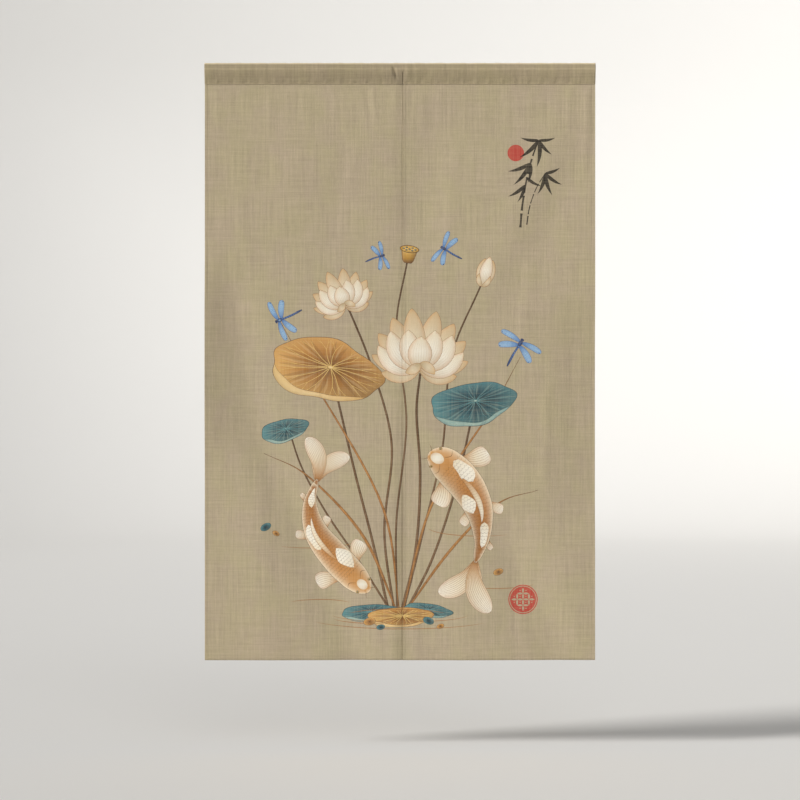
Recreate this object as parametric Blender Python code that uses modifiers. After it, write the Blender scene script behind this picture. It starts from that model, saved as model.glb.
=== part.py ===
# Split door curtain: two hemmed linen panels hanging from one sewn rod pocket.
#
# Metres, +Z up. The origin is the middle of the curtain's top edge. The printed
# front faces -Y, and +X is to the right of someone looking at the front.

import math
from collections import namedtuple

import bmesh
import bpy

# Driving dimensions of the whole curtain
CURTAIN_WIDTH = 0.850
CURTAIN_DROP = 1.300
CLOTH = 0.0012
PIECE_GAP = 0.0003

# Hems are folded to the back, so the cloth is double there
SIDE_HEM = 0.008
BOTTOM_HEM = 0.010
HEM_STEP = 0.001
HEM_LAYERS = 2

# The heading: a pocket for a rod, closed by a seam that leaves a narrow double lip
HEADING_DROP = 0.046
POCKET_RADIUS = 0.0115
SEAM_LIP = 0.003
CAVITY_TIP_RISE = 0.0015
CAVITY_TIP_HALF = 0.0005
POCKET_ARC_STEPS = 12
HEADING_STATIONS = 40

# The slit between the panels, a little right of the middle
SLIT_X = 0.0065
SLIT_TOP = 0.020
SLIT_WIDTH = 0.0008

# Below the heading the left panel's inner edge turns back and passes behind the right one
OVERLAP = 0.005
OVERLAP_START, OVERLAP_FULL = 0.150, 0.260
EDGE_TURN_BACK = 0.0060
TURN_BACK_WIDTH = 0.026
TURN_BACK_FULL = 0.140

# How far below the seam the cloth takes on its full folds
HANG_LENGTH = 0.200
FOLD_FADE = 0.160

PANEL_COLUMNS = 19
PANEL_ROWS = 40

Fold = namedtuple("Fold", "x_top x_low z_top z_low half_width forward")

# Soft folds of the hanging cloth. Each runs from (x_top, z_top) down to (x_low, z_low);
# forward is positive for a ridge towards the viewer and negative for a trough.
FOLDS = (
    Fold(-0.445, -0.430, -0.400, -0.900, 0.046, 0.0090),
    Fold(-0.381, -0.295, -0.380, -0.900, 0.042, -0.0050),
    Fold(-0.330, -0.010, -0.740, -1.500, 0.048, -0.0065),
    Fold(-0.335, -0.245, -0.900, -1.500, 0.050, 0.0030),
    Fold(-0.235, -0.225, -0.020, -0.420, 0.055, 0.0025),
    Fold(0.075, 0.040, 0.050, -0.480, 0.060, -0.0035),
    Fold(0.367, 0.165, -0.080, -0.560, 0.048, 0.0018),
    Fold(0.440, 0.220, -0.080, -0.600, 0.044, -0.0020),
    Fold(0.445, 0.430, -0.480, -1.080, 0.085, -0.0100),
    Fold(0.440, 0.440, -0.900, -1.500, 0.055, -0.0040),
    Fold(0.175, 0.430, -0.900, -1.500, 0.052, -0.0060),
    Fold(0.110, 0.170, -1.000, -1.500, 0.050, 0.0030),
)

Pucker = namedtuple("Pucker", "x lean half_width depth")

# Small puckers in the front of the pocket; lean is how far each drifts in X down the pocket
PUCKERS = (
    Pucker(-0.395, 0.000, 0.009, 0.0007),
    Pucker(-0.318, 0.006, 0.013, 0.0006),
    Pucker(-0.228, -0.004, 0.010, 0.0006),
    Pucker(-0.131, 0.005, 0.014, 0.0005),
    Pucker(-0.012, 0.012, 0.008, 0.0012),
    Pucker(0.062, -0.004, 0.011, 0.0006),
    Pucker(0.157, 0.004, 0.013, 0.0005),
    Pucker(0.262, -0.005, 0.010, 0.0006),
    Pucker(0.372, 0.004, 0.011, 0.0007),
)

LINEN_COLOUR = (0.440, 0.361, 0.235, 1.0)
HEADING_COLOUR = (0.420, 0.343, 0.222, 1.0)


def smooth_step(value):
    """0 below 0, 1 above 1, and an S-shaped rise between."""
    t = min(max(value, 0.0), 1.0)
    return t * t * (3.0 - 2.0 * t)


def fold_forward(fold, x, z):
    """How far one fold brings the cloth forward at (x, z): a bell across its line, faded at its ends."""
    along = (fold.z_top - z) / (fold.z_top - fold.z_low)
    line_x = fold.x_top + (fold.x_low - fold.x_top) * along
    across = (x - line_x) / fold.half_width
    shown = smooth_step((fold.z_top - z) / FOLD_FADE) * smooth_step((z - fold.z_low) / FOLD_FADE)
    return fold.forward * shown * math.exp(-across * across)


def edge_turn_back(x, z, edge_x):
    """How far the left panel's inner edge turns back, most at the edge itself."""
    reached = smooth_step((-z - HEADING_DROP) / TURN_BACK_FULL)
    near = smooth_step(1.0 - (edge_x - x) / TURN_BACK_WIDTH)
    return EDGE_TURN_BACK * reached * near


def inner_edge_of_left(z):
    """X of the left panel's inner edge: beside the right panel at the top, behind it lower down."""
    beside = SLIT_X - SLIT_WIDTH / 2
    behind = smooth_step((-z - OVERLAP_START) / (OVERLAP_FULL - OVERLAP_START))
    return beside + OVERLAP * behind


def front_of_cloth(x, z):
    """Y of the hanging cloth's front face: the seam's plane at the heading, the folds lower down."""
    hang = smooth_step((-z - HEADING_DROP) / HANG_LENGTH)
    return -CLOTH - hang * sum(fold_forward(fold, x, z) for fold in FOLDS)


def spaced(start, end, count):
    """count values from start to end, evenly spaced."""
    return [start + (end - start) * i / (count - 1) for i in range(count)]


def material(name, colour):
    """A matt cloth material."""
    made = bpy.data.materials.new(name)
    made.use_nodes = True
    shader = made.node_tree.nodes["Principled BSDF"]
    shader.inputs["Base Color"].default_value = colour
    shader.inputs["Roughness"].default_value = 0.9
    shader.inputs["Metallic"].default_value = 0.0
    return made


def object_from(bm, name, collection):
    """A new object that holds the bmesh."""
    mesh = bpy.data.meshes.new(name)
    bm.to_mesh(mesh)
    bm.free()
    made = bpy.data.objects.new(name, mesh)
    collection.objects.link(made)
    return made


def build_panel(name, left_edge, right_edge, is_left, cloth_material, collection):
    """One panel: a grid laid on the folds, made thick by Solidify and double at its hems.

    left_edge and right_edge give the panel's edges as functions of z.
    """
    inner_columns = spaced(0.0, 1.0, PANEL_COLUMNS)
    columns = 3 + len(inner_columns) + 1
    top = -HEADING_DROP - PIECE_GAP
    hem_top = -CURTAIN_DROP + BOTTOM_HEM
    rows = spaced(top, hem_top + HEM_STEP, PANEL_ROWS) + [hem_top, -CURTAIN_DROP]

    def column_x(column, z):
        """X of a column: two for each side hem, and the rest evenly between them."""
        left, right = left_edge(z), right_edge(z)
        if column == 0:
            return left
        if column == 1:
            return left + SIDE_HEM
        if column == columns - 2:
            return right - SIDE_HEM
        if column == columns - 1:
            return right
        field_left = left + SIDE_HEM + HEM_STEP
        field_right = right - SIDE_HEM - HEM_STEP
        return field_left + (field_right - field_left) * inner_columns[column - 2]

    bm = bmesh.new()
    bmesh.ops.create_grid(bm, x_segments=columns - 1, y_segments=len(rows) - 1, size=0.5)
    in_hem = []
    bm.verts.index_update()
    for vert in bm.verts:
        column = round((vert.co.x + 0.5) * (columns - 1))
        row = round((0.5 - vert.co.y) * (len(rows) - 1))
        z = rows[row]
        x = column_x(column, z)
        y = front_of_cloth(x, z)
        if is_left:
            y += edge_turn_back(x, z, right_edge(z))
        vert.co = (x, y, z)
        if column in (0, 1, columns - 2, columns - 1) or row >= len(rows) - 2:
            in_hem.append(vert.index)

    panel = object_from(bm, name, collection)
    hems = panel.vertex_groups.new(name="hems")
    hems.add(in_hem, 1.0, "REPLACE")
    thickness = panel.modifiers.new("cloth", "SOLIDIFY")
    thickness.thickness = CLOTH * HEM_LAYERS
    thickness.vertex_group = hems.name
    thickness.thickness_vertex_group = 1.0 / HEM_LAYERS
    thickness.offset = -1.0
    panel.data.materials.append(cloth_material)
    panel.data.shade_smooth()
    panel.data.set_sharp_from_angle(angle=math.radians(35))
    return panel


def pocket_side(radius, tip_half, tip_z):
    """Points (y, z) of one skin of the pocket, from its front tip over the rod to its back tip.

    An arc about the rod's axis, with a straight run from each end of it down to the tip.
    """
    centre_z = -(POCKET_RADIUS + CLOTH)
    reach = math.hypot(tip_half, centre_z - tip_z)
    # Angle at the arc's centre, from straight down to where the straight run touches
    touch = math.acos(radius / reach) + math.atan2(tip_half, centre_z - tip_z)
    arc = []
    for angle in spaced(touch, 2 * math.pi - touch, POCKET_ARC_STEPS + 1):
        arc.append((-radius * math.sin(angle), centre_z - radius * math.cos(angle)))
    front_tip, back_tip = (-tip_half, tip_z), (tip_half, tip_z)

    def between(a, b):
        return ((a[0] + b[0]) / 2, (a[1] + b[1]) / 2)

    return [front_tip, between(front_tip, arc[0]), *arc, between(arc[-1], back_tip), back_tip]


def pucker_depth(x, y, z):
    """How far the puckers press the front of the pocket in at a point, none at the back or the seam."""
    if y >= 0.0:
        return 0.0
    down = -z / HEADING_DROP
    shown = math.sin(math.pi * min(max(down, 0.0), 1.0))
    total = 0.0
    for pucker in PUCKERS:
        across = (x - pucker.x - pucker.lean * down) / pucker.half_width
        total += pucker.depth * math.exp(-across * across)
    return total * shown


def build_heading(cloth_material, collection, cutters):
    """The rod pocket: its section extruded along X in steps, puckered, and slit in front."""
    tip_z = -HEADING_DROP + SEAM_LIP
    outer = pocket_side(POCKET_RADIUS + CLOTH, CLOTH, tip_z)
    cavity = pocket_side(POCKET_RADIUS, CAVITY_TIP_HALF, tip_z + CAVITY_TIP_RISE)
    start = -CURTAIN_WIDTH / 2

    bm = bmesh.new()
    outer_verts = [bm.verts.new((start, y, z)) for y, z in outer]
    cavity_verts = [bm.verts.new((start, y, z)) for y, z in cavity]
    lip_front = bm.verts.new((start, -CLOTH, -HEADING_DROP))
    lip_back = bm.verts.new((start, CLOTH, -HEADING_DROP))
    ring = []
    for i in range(len(outer) - 1):
        corners = (outer_verts[i], outer_verts[i + 1], cavity_verts[i + 1], cavity_verts[i])
        ring.append(bm.faces.new(corners))
    lip = (lip_front, outer_verts[0], cavity_verts[0], cavity_verts[-1], outer_verts[-1], lip_back)
    ring.append(bm.faces.new(lip))
    made = bmesh.ops.extrude_face_region(bm, geom=ring, use_keep_orig=True)["geom"]
    far_verts = [item for item in made if isinstance(item, bmesh.types.BMVert)]
    bmesh.ops.translate(bm, verts=far_verts, vec=(CURTAIN_WIDTH, 0.0, 0.0))
    long_edges = [edge for edge in bm.edges if abs(edge.verts[0].co.x - edge.verts[1].co.x) > 0.001]
    bmesh.ops.subdivide_edges(bm, edges=long_edges, cuts=HEADING_STATIONS - 1, use_grid_fill=True)
    bmesh.ops.recalc_face_normals(bm, faces=bm.faces)
    for vert in bm.verts:
        vert.co.y += pucker_depth(*vert.co)

    heading = object_from(bm, "heading", collection)
    heading.data.materials.append(cloth_material)
    heading.data.shade_smooth()
    heading.data.set_sharp_from_angle(angle=math.radians(35))

    cut_height = HEADING_DROP - SLIT_TOP + CLOTH
    cut_depth = 2 * POCKET_RADIUS
    bpy.ops.mesh.primitive_cube_add(
        size=1.0,
        location=(SLIT_X, -cut_depth / 2 - PIECE_GAP / 2, -SLIT_TOP - cut_height / 2),
        scale=(SLIT_WIDTH, cut_depth, cut_height),
    )
    cutter = bpy.context.active_object
    cutter.name = "slit_cutter"
    cutter.display_type = "WIRE"
    cutter.hide_render = True
    for linked in list(cutter.users_collection):
        linked.objects.unlink(cutter)
    cutters.objects.link(cutter)
    slit = heading.modifiers.new("slit", "BOOLEAN")
    slit.operation = "DIFFERENCE"
    slit.solver = "EXACT"
    slit.object = cutter
    return heading


def build_curtain():
    """The two panels and the heading, in one collection."""
    for old in list(bpy.data.objects):
        bpy.data.objects.remove(old)
    curtain = bpy.data.collections.new("door_curtain")
    cutters = bpy.data.collections.new("cutters")
    bpy.context.scene.collection.children.link(curtain)
    bpy.context.scene.collection.children.link(cutters)
    linen = material("linen", LINEN_COLOUR)
    heading_linen = material("heading_linen", HEADING_COLOUR)

    half = CURTAIN_WIDTH / 2
    build_panel("panel_left", lambda z: -half, inner_edge_of_left, True, linen, curtain)
    right_inner = SLIT_X + SLIT_WIDTH / 2
    build_panel("panel_right", lambda z: right_inner, lambda z: half, False, linen, curtain)
    build_heading(heading_linen, curtain, cutters)


build_curtain()
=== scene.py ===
# Looks of a split door curtain: two printed linen panels that hang from one sewn rod pocket.
#
# Lengths are in metres, in the frame of the solids: the top edge's middle is the origin, +X is to
# the right and the printed front faces -Y. Only the print's drawing is in millimetres.

import math
from collections import namedtuple

import bpy
import numpy as np
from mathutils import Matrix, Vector
from mathutils.geometry import delaunay_2d_cdt


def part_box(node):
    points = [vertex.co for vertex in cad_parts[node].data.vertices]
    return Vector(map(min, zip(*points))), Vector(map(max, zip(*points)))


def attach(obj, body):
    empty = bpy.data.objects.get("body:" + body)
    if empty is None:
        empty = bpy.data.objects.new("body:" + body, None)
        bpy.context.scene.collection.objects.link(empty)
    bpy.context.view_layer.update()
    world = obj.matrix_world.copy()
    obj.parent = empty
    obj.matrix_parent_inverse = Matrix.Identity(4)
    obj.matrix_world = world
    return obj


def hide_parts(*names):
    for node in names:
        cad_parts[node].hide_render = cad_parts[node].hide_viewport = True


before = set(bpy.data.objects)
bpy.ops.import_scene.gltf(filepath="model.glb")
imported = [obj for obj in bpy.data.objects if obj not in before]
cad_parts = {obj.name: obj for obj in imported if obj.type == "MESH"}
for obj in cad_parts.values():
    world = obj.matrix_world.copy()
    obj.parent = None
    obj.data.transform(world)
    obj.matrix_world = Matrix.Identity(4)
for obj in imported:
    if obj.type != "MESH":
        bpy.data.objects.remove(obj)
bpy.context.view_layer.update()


# The curtain's sizes, from the solids
heading_low, heading_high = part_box("heading")
HALF_WIDTH = heading_high.x
HEADING_DROP = -heading_low.z
CURTAIN_DROP = -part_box("panel_left")[0].z
POCKET_TOP_RADIUS = (heading_high.y - heading_low.y) / 2

# The cloth and its hems
LINEN = 0.0008
SIDE_HEM = 0.008
BOTTOM_HEM = 0.010
HEM_STEP = 0.0006
HEM_SWELL = 0.00012
HEM_SWELL_FADE = 0.4
STITCH_IN = 0.0014
STITCH_SINK = 0.0002
STITCH_SINK_WIDTH = 0.0009
EDGE_ROUND = 0.0006
EDGE_ROUND_SHARE = 0.7
RIM_OUT = 0.3
RIM_LEAN = 0.8
RIM_LAID_OUT = 0.8
FOOT_ROLL = 0.0015
FOOT_ROLL_WIDTH = 0.0045
TUCK = 0.006

# The slit and the overlap below it
SLIT_X = 0.0065
SLIT_WIDTH = 0.0008
SLIT_TOP = 0.020
OVERLAP = 0.005
MEETING = 0.0018
OVERLAP_START, OVERLAP_FULL = 0.046, 0.170
TURN_BACK_HIGH, TURN_BACK_LOW = 0.0008, 0.0034
EDGE_ROLL = 0.0005
EDGE_ROLL_WIDTH = 0.0036
TURN_BACK_GROWS = (0.450, 1.200)
TURN_BACK_WIDTH = 0.026
TURN_BACK_START, TURN_BACK_FULL = 0.020, 0.060
WARP_WIDTH = 0.040

# The heading: its lip stands on both sides of the panels, and the seam runs along it
SEAM_LIP = 0.003
FRONT_LIP_Y = 0.00175
BACK_LIP_Y = 0.0014
SEAM_UP = 0.0024
SEAM_GATHER = 0.0100
POCKET_SLIT_WIDTH = 0.0016
SLIT_ROLL = 0.0003
SLIT_ROLL_WIDTH = 0.0024
SLIT_ROLL_ABOVE, SLIT_ROLL_FADE = 0.006, 0.010
SLOPE_STEP = 0.0006
FRONT_FADE = 0.004
STITCH_GAP = 0.0015
STITCH_BELOW_SEAM = 0.001

# The bulge at the heading's back, where the layers meet behind the slit
BACK_BULGE = 0.0018
BACK_BULGE_LEFT = 0.006
BACK_BULGE_WIDTH = 0.014
BACK_BULGE_FROM, BACK_BULGE_FADE = 0.030, 0.012

# Thread and weave
STITCH_PITCH = 0.0032
STITCH_LENGTH = 0.0025
THREAD_WIDTH = 0.00055
THREAD_HEIGHT = 0.00022
THREAD_PITCH = 0.0008
WEAVE_RELIEF = 0.00012
LONG_THREAD_RELIEF = 0.00022
SHORT_THREAD_RELIEF = 0.00010

# The print: its points join when closer than this, in millimetres, and it shows through at the back
PRINT_JOIN = 0.02
SHOW_THROUGH = 0.25

# The gap between front and back where the sheet is laid out flat for its textures
ISLAND_GAP = 0.006

# Painted light and shade on the pocket's cloth at each drop below the top edge, against the panels'
HEADING_PAINTED_SHADING = (
    (0.0000, 1.43),
    (0.0034, 1.46),
    (0.0044, 0.64),
    (0.0062, 0.73),
    (0.0080, 0.80),
    (0.0115, 0.82),
    (0.0135, 1.04),
    (0.0165, 1.01),
    (0.0210, 0.95),
    (0.0290, 0.88),
    (0.0400, 0.89),
    (0.0460, 0.93),
)

# How much painted shade darkens the deep crease, the double cloth and the slit's edges, and how much
# painted light brightens the outer right edge
PINCH_PAINTED_SHADE = 0.20
DOUBLE_CLOTH_PAINTED_SHADE = 0.035
SLIT_PAINTED_SHADE = 0.16
EDGE_PAINTED_HIGHLIGHT = 0.11

# The studio and the camera
FLOOR_Z = -1.494
ROOM_RADIUS = 12.0
ROOM_SIDES = 96
COVE = 3.0
WALL_HEIGHT = 4.0
STUDIO_COLOUR = (0.80, 0.79, 0.77)
KEY_STRENGTH = 3.40
FILL_STRENGTH = 0.48
ROOM_LIGHT = 0.300
CAMERA_AWAY = 6.0
VIEW_WIDTH = 1.7416
VIEW_MIDDLE_Z = -0.7336

# How the folds begin under the heading
HANG_LENGTH = 0.200
FOLD_FADE = 0.160
CREASE_FADE = 0.045
GATHER_LENGTH = 0.020

# Spacing of the cloth's grid lines
COLUMN_STEP = 0.0062
ROW_STEP = 0.0085
TOP_ROW_STEP = 0.0035
TOP_ROWS_TO = 0.120
HEADING_STEP = 0.0028
HEADING_ROW_STEP = 0.8 * HEADING_STEP
EDGE_LINES = (0.0, 0.0003, 0.0009, 0.0015, 0.0022, 0.0032, 0.0042)
STITCH_LINES = (-0.0014, -0.0008, -0.0004, 0.0, 0.0004, 0.0008)
HEM_END_LINES = (0.0, 0.0006, 0.0028)
SLIT_LINES = (0.0012, 0.0026, 0.0042, 0.0060, 0.0080, 0.0104)
SEAM_LINES = (-0.0017, -0.0009, -0.0004, 0.0, 0.0004, 0.0009, 0.0017, 0.0030)

Fold = namedtuple("Fold", "x_top x_low z_top z_low half_width forward")

# The solids' folds. Each runs from (x_top, z_top) down to (x_low, z_low); forward is positive for
# a ridge towards the viewer and negative for a trough.
FOLDS = (
    Fold(-0.445, -0.430, -0.400, -0.900, 0.046, 0.0090),
    Fold(-0.381, -0.295, -0.380, -0.900, 0.042, -0.0050),
    Fold(-0.330, -0.010, -0.740, -1.500, 0.048, -0.0065),
    Fold(-0.335, -0.245, -0.900, -1.500, 0.050, 0.0030),
    Fold(-0.235, -0.225, -0.020, -0.420, 0.055, 0.0025),
    Fold(0.075, 0.040, 0.050, -0.480, 0.060, -0.0035),
    Fold(0.367, 0.165, -0.080, -0.560, 0.048, 0.0018),
    Fold(0.440, 0.220, -0.080, -0.600, 0.044, -0.0020),
    Fold(0.445, 0.430, -0.480, -1.080, 0.085, -0.0100),
    Fold(0.440, 0.440, -0.900, -1.500, 0.055, -0.0040),
    Fold(0.175, 0.430, -0.900, -1.500, 0.052, -0.0060),
    Fold(0.110, 0.170, -1.000, -1.500, 0.050, 0.0030),
)

# Finer creases: gathers that hang from the seam, and soft dents lower down
CREASES = (
    Fold(-0.402, -0.396, 0.020, -0.150, 0.0060, 0.0006),
    Fold(-0.352, -0.360, 0.020, -0.130, 0.0070, -0.0006),
    Fold(-0.286, -0.282, 0.020, -0.170, 0.0080, 0.0006),
    Fold(-0.214, -0.226, 0.020, -0.140, 0.0070, -0.0005),
    Fold(-0.150, -0.138, 0.020, -0.160, 0.0080, 0.0005),
    Fold(-0.082, -0.066, 0.020, -0.130, 0.0060, -0.0010),
    Fold(-0.066, -0.050, 0.020, -0.150, 0.0050, 0.0008),
    Fold(-0.016, -0.006, 0.020, -0.120, 0.0060, 0.0008),
    Fold(0.024, 0.028, 0.020, -0.130, 0.0060, -0.0007),
    Fold(0.092, 0.084, 0.020, -0.150, 0.0080, 0.0006),
    Fold(0.158, 0.166, 0.020, -0.140, 0.0070, -0.0005),
    Fold(0.236, 0.228, 0.020, -0.170, 0.0080, 0.0006),
    Fold(0.312, 0.320, 0.020, -0.140, 0.0070, -0.0006),
    Fold(0.374, 0.366, 0.020, -0.160, 0.0070, 0.0007),
    Fold(0.410, 0.402, 0.000, -0.260, 0.0090, 0.0012),
    Fold(-0.360, -0.330, -0.180, -0.460, 0.0170, 0.0007),
    Fold(-0.120, -0.150, -0.140, -0.420, 0.0200, -0.0008),
    Fold(-0.290, -0.262, -0.840, -1.080, 0.0140, -0.0010),
    Fold(-0.180, -0.150, -0.940, -1.200, 0.0150, 0.0008),
    Fold(-0.040, -0.028, -0.960, -1.400, 0.0110, -0.0006),
    Fold(0.040, 0.034, -0.900, -1.400, 0.0110, 0.0006),
    Fold(0.120, 0.090, -0.180, -0.460, 0.0180, 0.0009),
    Fold(0.290, 0.262, -0.400, -0.640, 0.0160, 0.0010),
    Fold(0.322, 0.314, -0.680, -0.940, 0.0120, 0.0010),
    Fold(0.380, 0.372, -0.560, -0.860, 0.0140, -0.0007),
    Fold(0.240, 0.262, -1.060, -1.420, 0.0220, -0.0012),
)

Pucker = namedtuple("Pucker", "x lean half_width depth")

# The pocket's puckers, pressed in where depth is positive; lean is the drift in X down the pocket
PUCKERS = (
    Pucker(-0.395, 0.000, 0.009, 0.0007),
    Pucker(-0.318, 0.006, 0.013, 0.0006),
    Pucker(-0.228, -0.004, 0.010, 0.0006),
    Pucker(-0.131, 0.005, 0.014, 0.0005),
    Pucker(0.0160, 0.003, 0.0050, -0.0010),
    Pucker(0.062, -0.004, 0.011, 0.0006),
    Pucker(0.157, 0.004, 0.013, 0.0005),
    Pucker(0.262, -0.005, 0.010, 0.0006),
    Pucker(0.372, 0.004, 0.011, 0.0007),
)

# The deep crease beside the slit, which runs down into the seam
PINCH = Pucker(-0.0165, 0.012, 0.0036, 0.0029)
PINCH_START, PINCH_START_FADE = 0.006, 0.010
PINCH_END, PINCH_END_FADE = 0.041, 0.014

# Sines that wave the pocket's cloth and the gathers over its seam: turns a metre, phase and size.
# Each drifts by so many radians a metre up the cloth.
POCKET_WAVES = (
    (23.0, 0.4, 0.00018),
    (41.0, 2.1, 0.00012),
    (67.0, 4.4, 0.00010),
    (113.0, 1.3, 0.00006),
)
POCKET_DRIFT = 30.0
SEAM_WAVES = (
    (37.0, 0.9, 0.00030),
    (71.0, 3.7, 0.00015),
    (127.0, 5.2, 0.00007),
)
SEAM_DRIFT = -60.0


def smooth_step(value):
    """0 below 0, 1 above 1, and an S-shaped rise between: 3 t squared minus 2 t cubed."""
    t = np.clip(value, 0.0, 1.0)
    return t * t * (3.0 - 2.0 * t)


def folds_forward(folds, fade, x, z):
    """How far folds bring the cloth forward: for each, a bell across its line, faded at its ends."""
    total = np.zeros_like(x)
    for fold in folds:
        along = (fold.z_top - z) / (fold.z_top - fold.z_low)
        line_x = fold.x_top + (fold.x_low - fold.x_top) * along
        across = (x - line_x) / fold.half_width
        shown = smooth_step((fold.z_top - z) / fade) * smooth_step((z - fold.z_low) / fade)
        total += fold.forward * shown * np.exp(-across * across)
    return total


# The panels: where each one's sides are, as u across the flat cloth
LEFT, RIGHT = "panel_left", "panel_right"
SIDES = {
    LEFT: (-HALF_WIDTH, SLIT_X - SLIT_WIDTH / 2 + OVERLAP),
    RIGHT: (SLIT_X + SLIT_WIDTH / 2, HALF_WIDTH),
}


def across_at(panel, u, z):
    """X of the flat cloth's u. The left panel's inner edge meets the right one's under the heading,
    and slides behind it lower down."""
    if panel == RIGHT:
        return u
    inner = SIDES[LEFT][1]
    slid = smooth_step((-z - OVERLAP_START) / (OVERLAP_FULL - OVERLAP_START))
    short = (OVERLAP - MEETING) * (1.0 - slid)
    return u - short * smooth_step((u - inner) / WARP_WIDTH + 1.0)


def hem_relief(panel, u, z):
    """Forward swell of the double hems, drawn in along their stitches and rounded at their edges.

    The rounding is a quarter circle's, and the foot rolls back as a square of the way down to it.
    """
    from_side = np.minimum(u - SIDES[panel][0], SIDES[panel][1] - u)
    from_foot = z + CURTAIN_DROP
    total = 0.0
    for away, hem in ((from_side, SIDE_HEM), (from_foot, BOTTOM_HEM)):
        total = np.maximum(total, HEM_SWELL * smooth_step((hem - away) / (hem * HEM_SWELL_FADE)))
    for away, hem in ((from_side, SIDE_HEM), (from_foot, BOTTOM_HEM)):
        total = total - STITCH_SINK * np.exp(-(((away - hem + STITCH_IN) / STITCH_SINK_WIDTH) ** 2))
    edge = np.clip(np.minimum(from_side, from_foot) / EDGE_ROUND, 0.0, 1.0)
    total = total - EDGE_ROUND * EDGE_ROUND_SHARE * (1.0 - np.sqrt(1.0 - (1.0 - edge) ** 2))
    return total - FOOT_ROLL * np.clip(1.0 - from_foot / FOOT_ROLL_WIDTH, 0.0, 1.0) ** 2


def front_of(panel, u, z):
    """The cloth's front surface: x, y and z at u across and z up.

    It lies one thickness in front of the seam, and folds and creases bring it forward below the
    heading. The left panel's inner edge turns back, more so lower down, to pass behind the right one.
    """
    x = across_at(panel, u, z)
    hang = smooth_step((-z - HEADING_DROP) / HANG_LENGTH)
    gather = smooth_step((-z - HEADING_DROP) / GATHER_LENGTH)
    y = -LINEN - hang * folds_forward(FOLDS, FOLD_FADE, x, z)
    y = y - gather * folds_forward(CREASES, CREASE_FADE, x, z)
    if panel == LEFT:
        reached = smooth_step((-z - TURN_BACK_START) / (TURN_BACK_FULL - TURN_BACK_START))
        grown = smooth_step((-z - TURN_BACK_GROWS[0]) / (TURN_BACK_GROWS[1] - TURN_BACK_GROWS[0]))
        depth = TURN_BACK_HIGH + (TURN_BACK_LOW - TURN_BACK_HIGH) * grown
        y = y + depth * reached * smooth_step(1.0 - (SIDES[LEFT][1] - u) / TURN_BACK_WIDTH)
        y = y + EDGE_ROLL * reached * smooth_step(1.0 - (SIDES[RIGHT][0] - x) / EDGE_ROLL_WIDTH)
    y = y - hem_relief(panel, u, z)
    return np.stack((x, y, z), axis=-1)


def thickness_of(panel, u, z):
    """One layer of linen, two over the hems."""
    from_side = np.minimum(u - SIDES[panel][0], SIDES[panel][1] - u)
    from_foot = z + CURTAIN_DROP
    hem = np.maximum(
        smooth_step((SIDE_HEM + HEM_STEP - from_side) / HEM_STEP),
        smooth_step((BOTTOM_HEM + HEM_STEP - from_foot) / HEM_STEP),
    )
    return LINEN * (1.0 + hem)


def evenly(start, end, step):
    """Values from start to end, no further apart than step."""
    return np.linspace(start, end, max(2, math.ceil(abs(end - start) / step) + 1))


def hem_lines(hem):
    """Distances from an edge where grid lines lie: its rounding, the stitches and the hem's end."""
    stitches = hem - STITCH_IN + np.asarray(STITCH_LINES)
    return np.concatenate((EDGE_LINES, stitches, hem + np.asarray(HEM_END_LINES)))


def grid_lines(panel):
    """The cloth's grid: close lines over its hems and under the heading, even ones between."""
    low, high = SIDES[panel]
    hem = hem_lines(SIDE_HEM)
    field = evenly(low + hem[-1], high - hem[-1], COLUMN_STEP)[1:-1]
    columns = np.concatenate((low + hem, field, (high - hem)[::-1]))
    top = -HEADING_DROP + TUCK
    foot = -CURTAIN_DROP + hem_lines(BOTTOM_HEM)
    upper = evenly(top, -TOP_ROWS_TO, TOP_ROW_STEP)
    lower = evenly(-TOP_ROWS_TO, foot[-1], ROW_STEP)[1:-1]
    return columns, np.concatenate((upper, lower, foot[::-1]))


# The print. Its drawing is in millimetres: x across from the curtain's middle, z up from its top edge.
# A drawing is a list of shapes in painting order, each an outline, a function that gives every
# point's place in the shape (along it from 0 to 1, and across it from -1 to 1), and its tint.

Shape = namedtuple("Shape", "outline place tint length")
Tint = namedtuple("Tint", "start middle end edge edge_amount side cover", defaults=(0.0, 0.0, 1.0))


def ink(red, green, blue):
    """Linear colour of an ink given in display values from 0 to 255."""
    shown = np.array((red, green, blue)) / 255.0
    return np.where(shown <= 0.04045, shown / 12.92, ((shown + 0.055) / 1.055) ** 2.4)


def plain(colour, cover=1.0):
    """A tint of one colour."""
    return Tint(colour, colour, colour, colour, 0.0, 0.0, cover)


CREAM = ink(243, 236, 220)
WARM_WHITE = ink(232, 218, 190)
PETAL_SHADE = ink(196, 176, 142)
PETAL_TIP = ink(201, 148, 96)
GOLD = ink(196, 148, 62)
PALE_GOLD = ink(222, 186, 112)
TAN = ink(193, 136, 74)
GOLDEN_BROWN = ink(158, 104, 50)
BROWN = ink(112, 74, 40)
DARK_BROWN = ink(72, 46, 28)
STEM = ink(122, 92, 64)
STEM_SHADE = ink(80, 56, 38)
TEAL = ink(38, 82, 94)
TEAL_LIGHT = ink(84, 132, 136)
TEAL_DARK = ink(22, 48, 58)
BLUE = ink(70, 116, 176)
BLUE_LIGHT = ink(152, 188, 218)
BLUE_DARK = ink(34, 56, 98)
BLACK_INK = ink(24, 21, 19)
RED = ink(186, 52, 44)


def turned(vector, degrees):
    """The vector turned anticlockwise."""
    a = math.radians(degrees)
    x, z = vector[..., 0], vector[..., 1]
    return np.stack((x * math.cos(a) - z * math.sin(a), x * math.sin(a) + z * math.cos(a)), axis=-1)


def heading_to(degrees, length=1.0):
    """A vector of this length at an angle, anticlockwise from +X."""
    return length * np.array((math.cos(math.radians(degrees)), math.sin(math.radians(degrees))))


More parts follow.
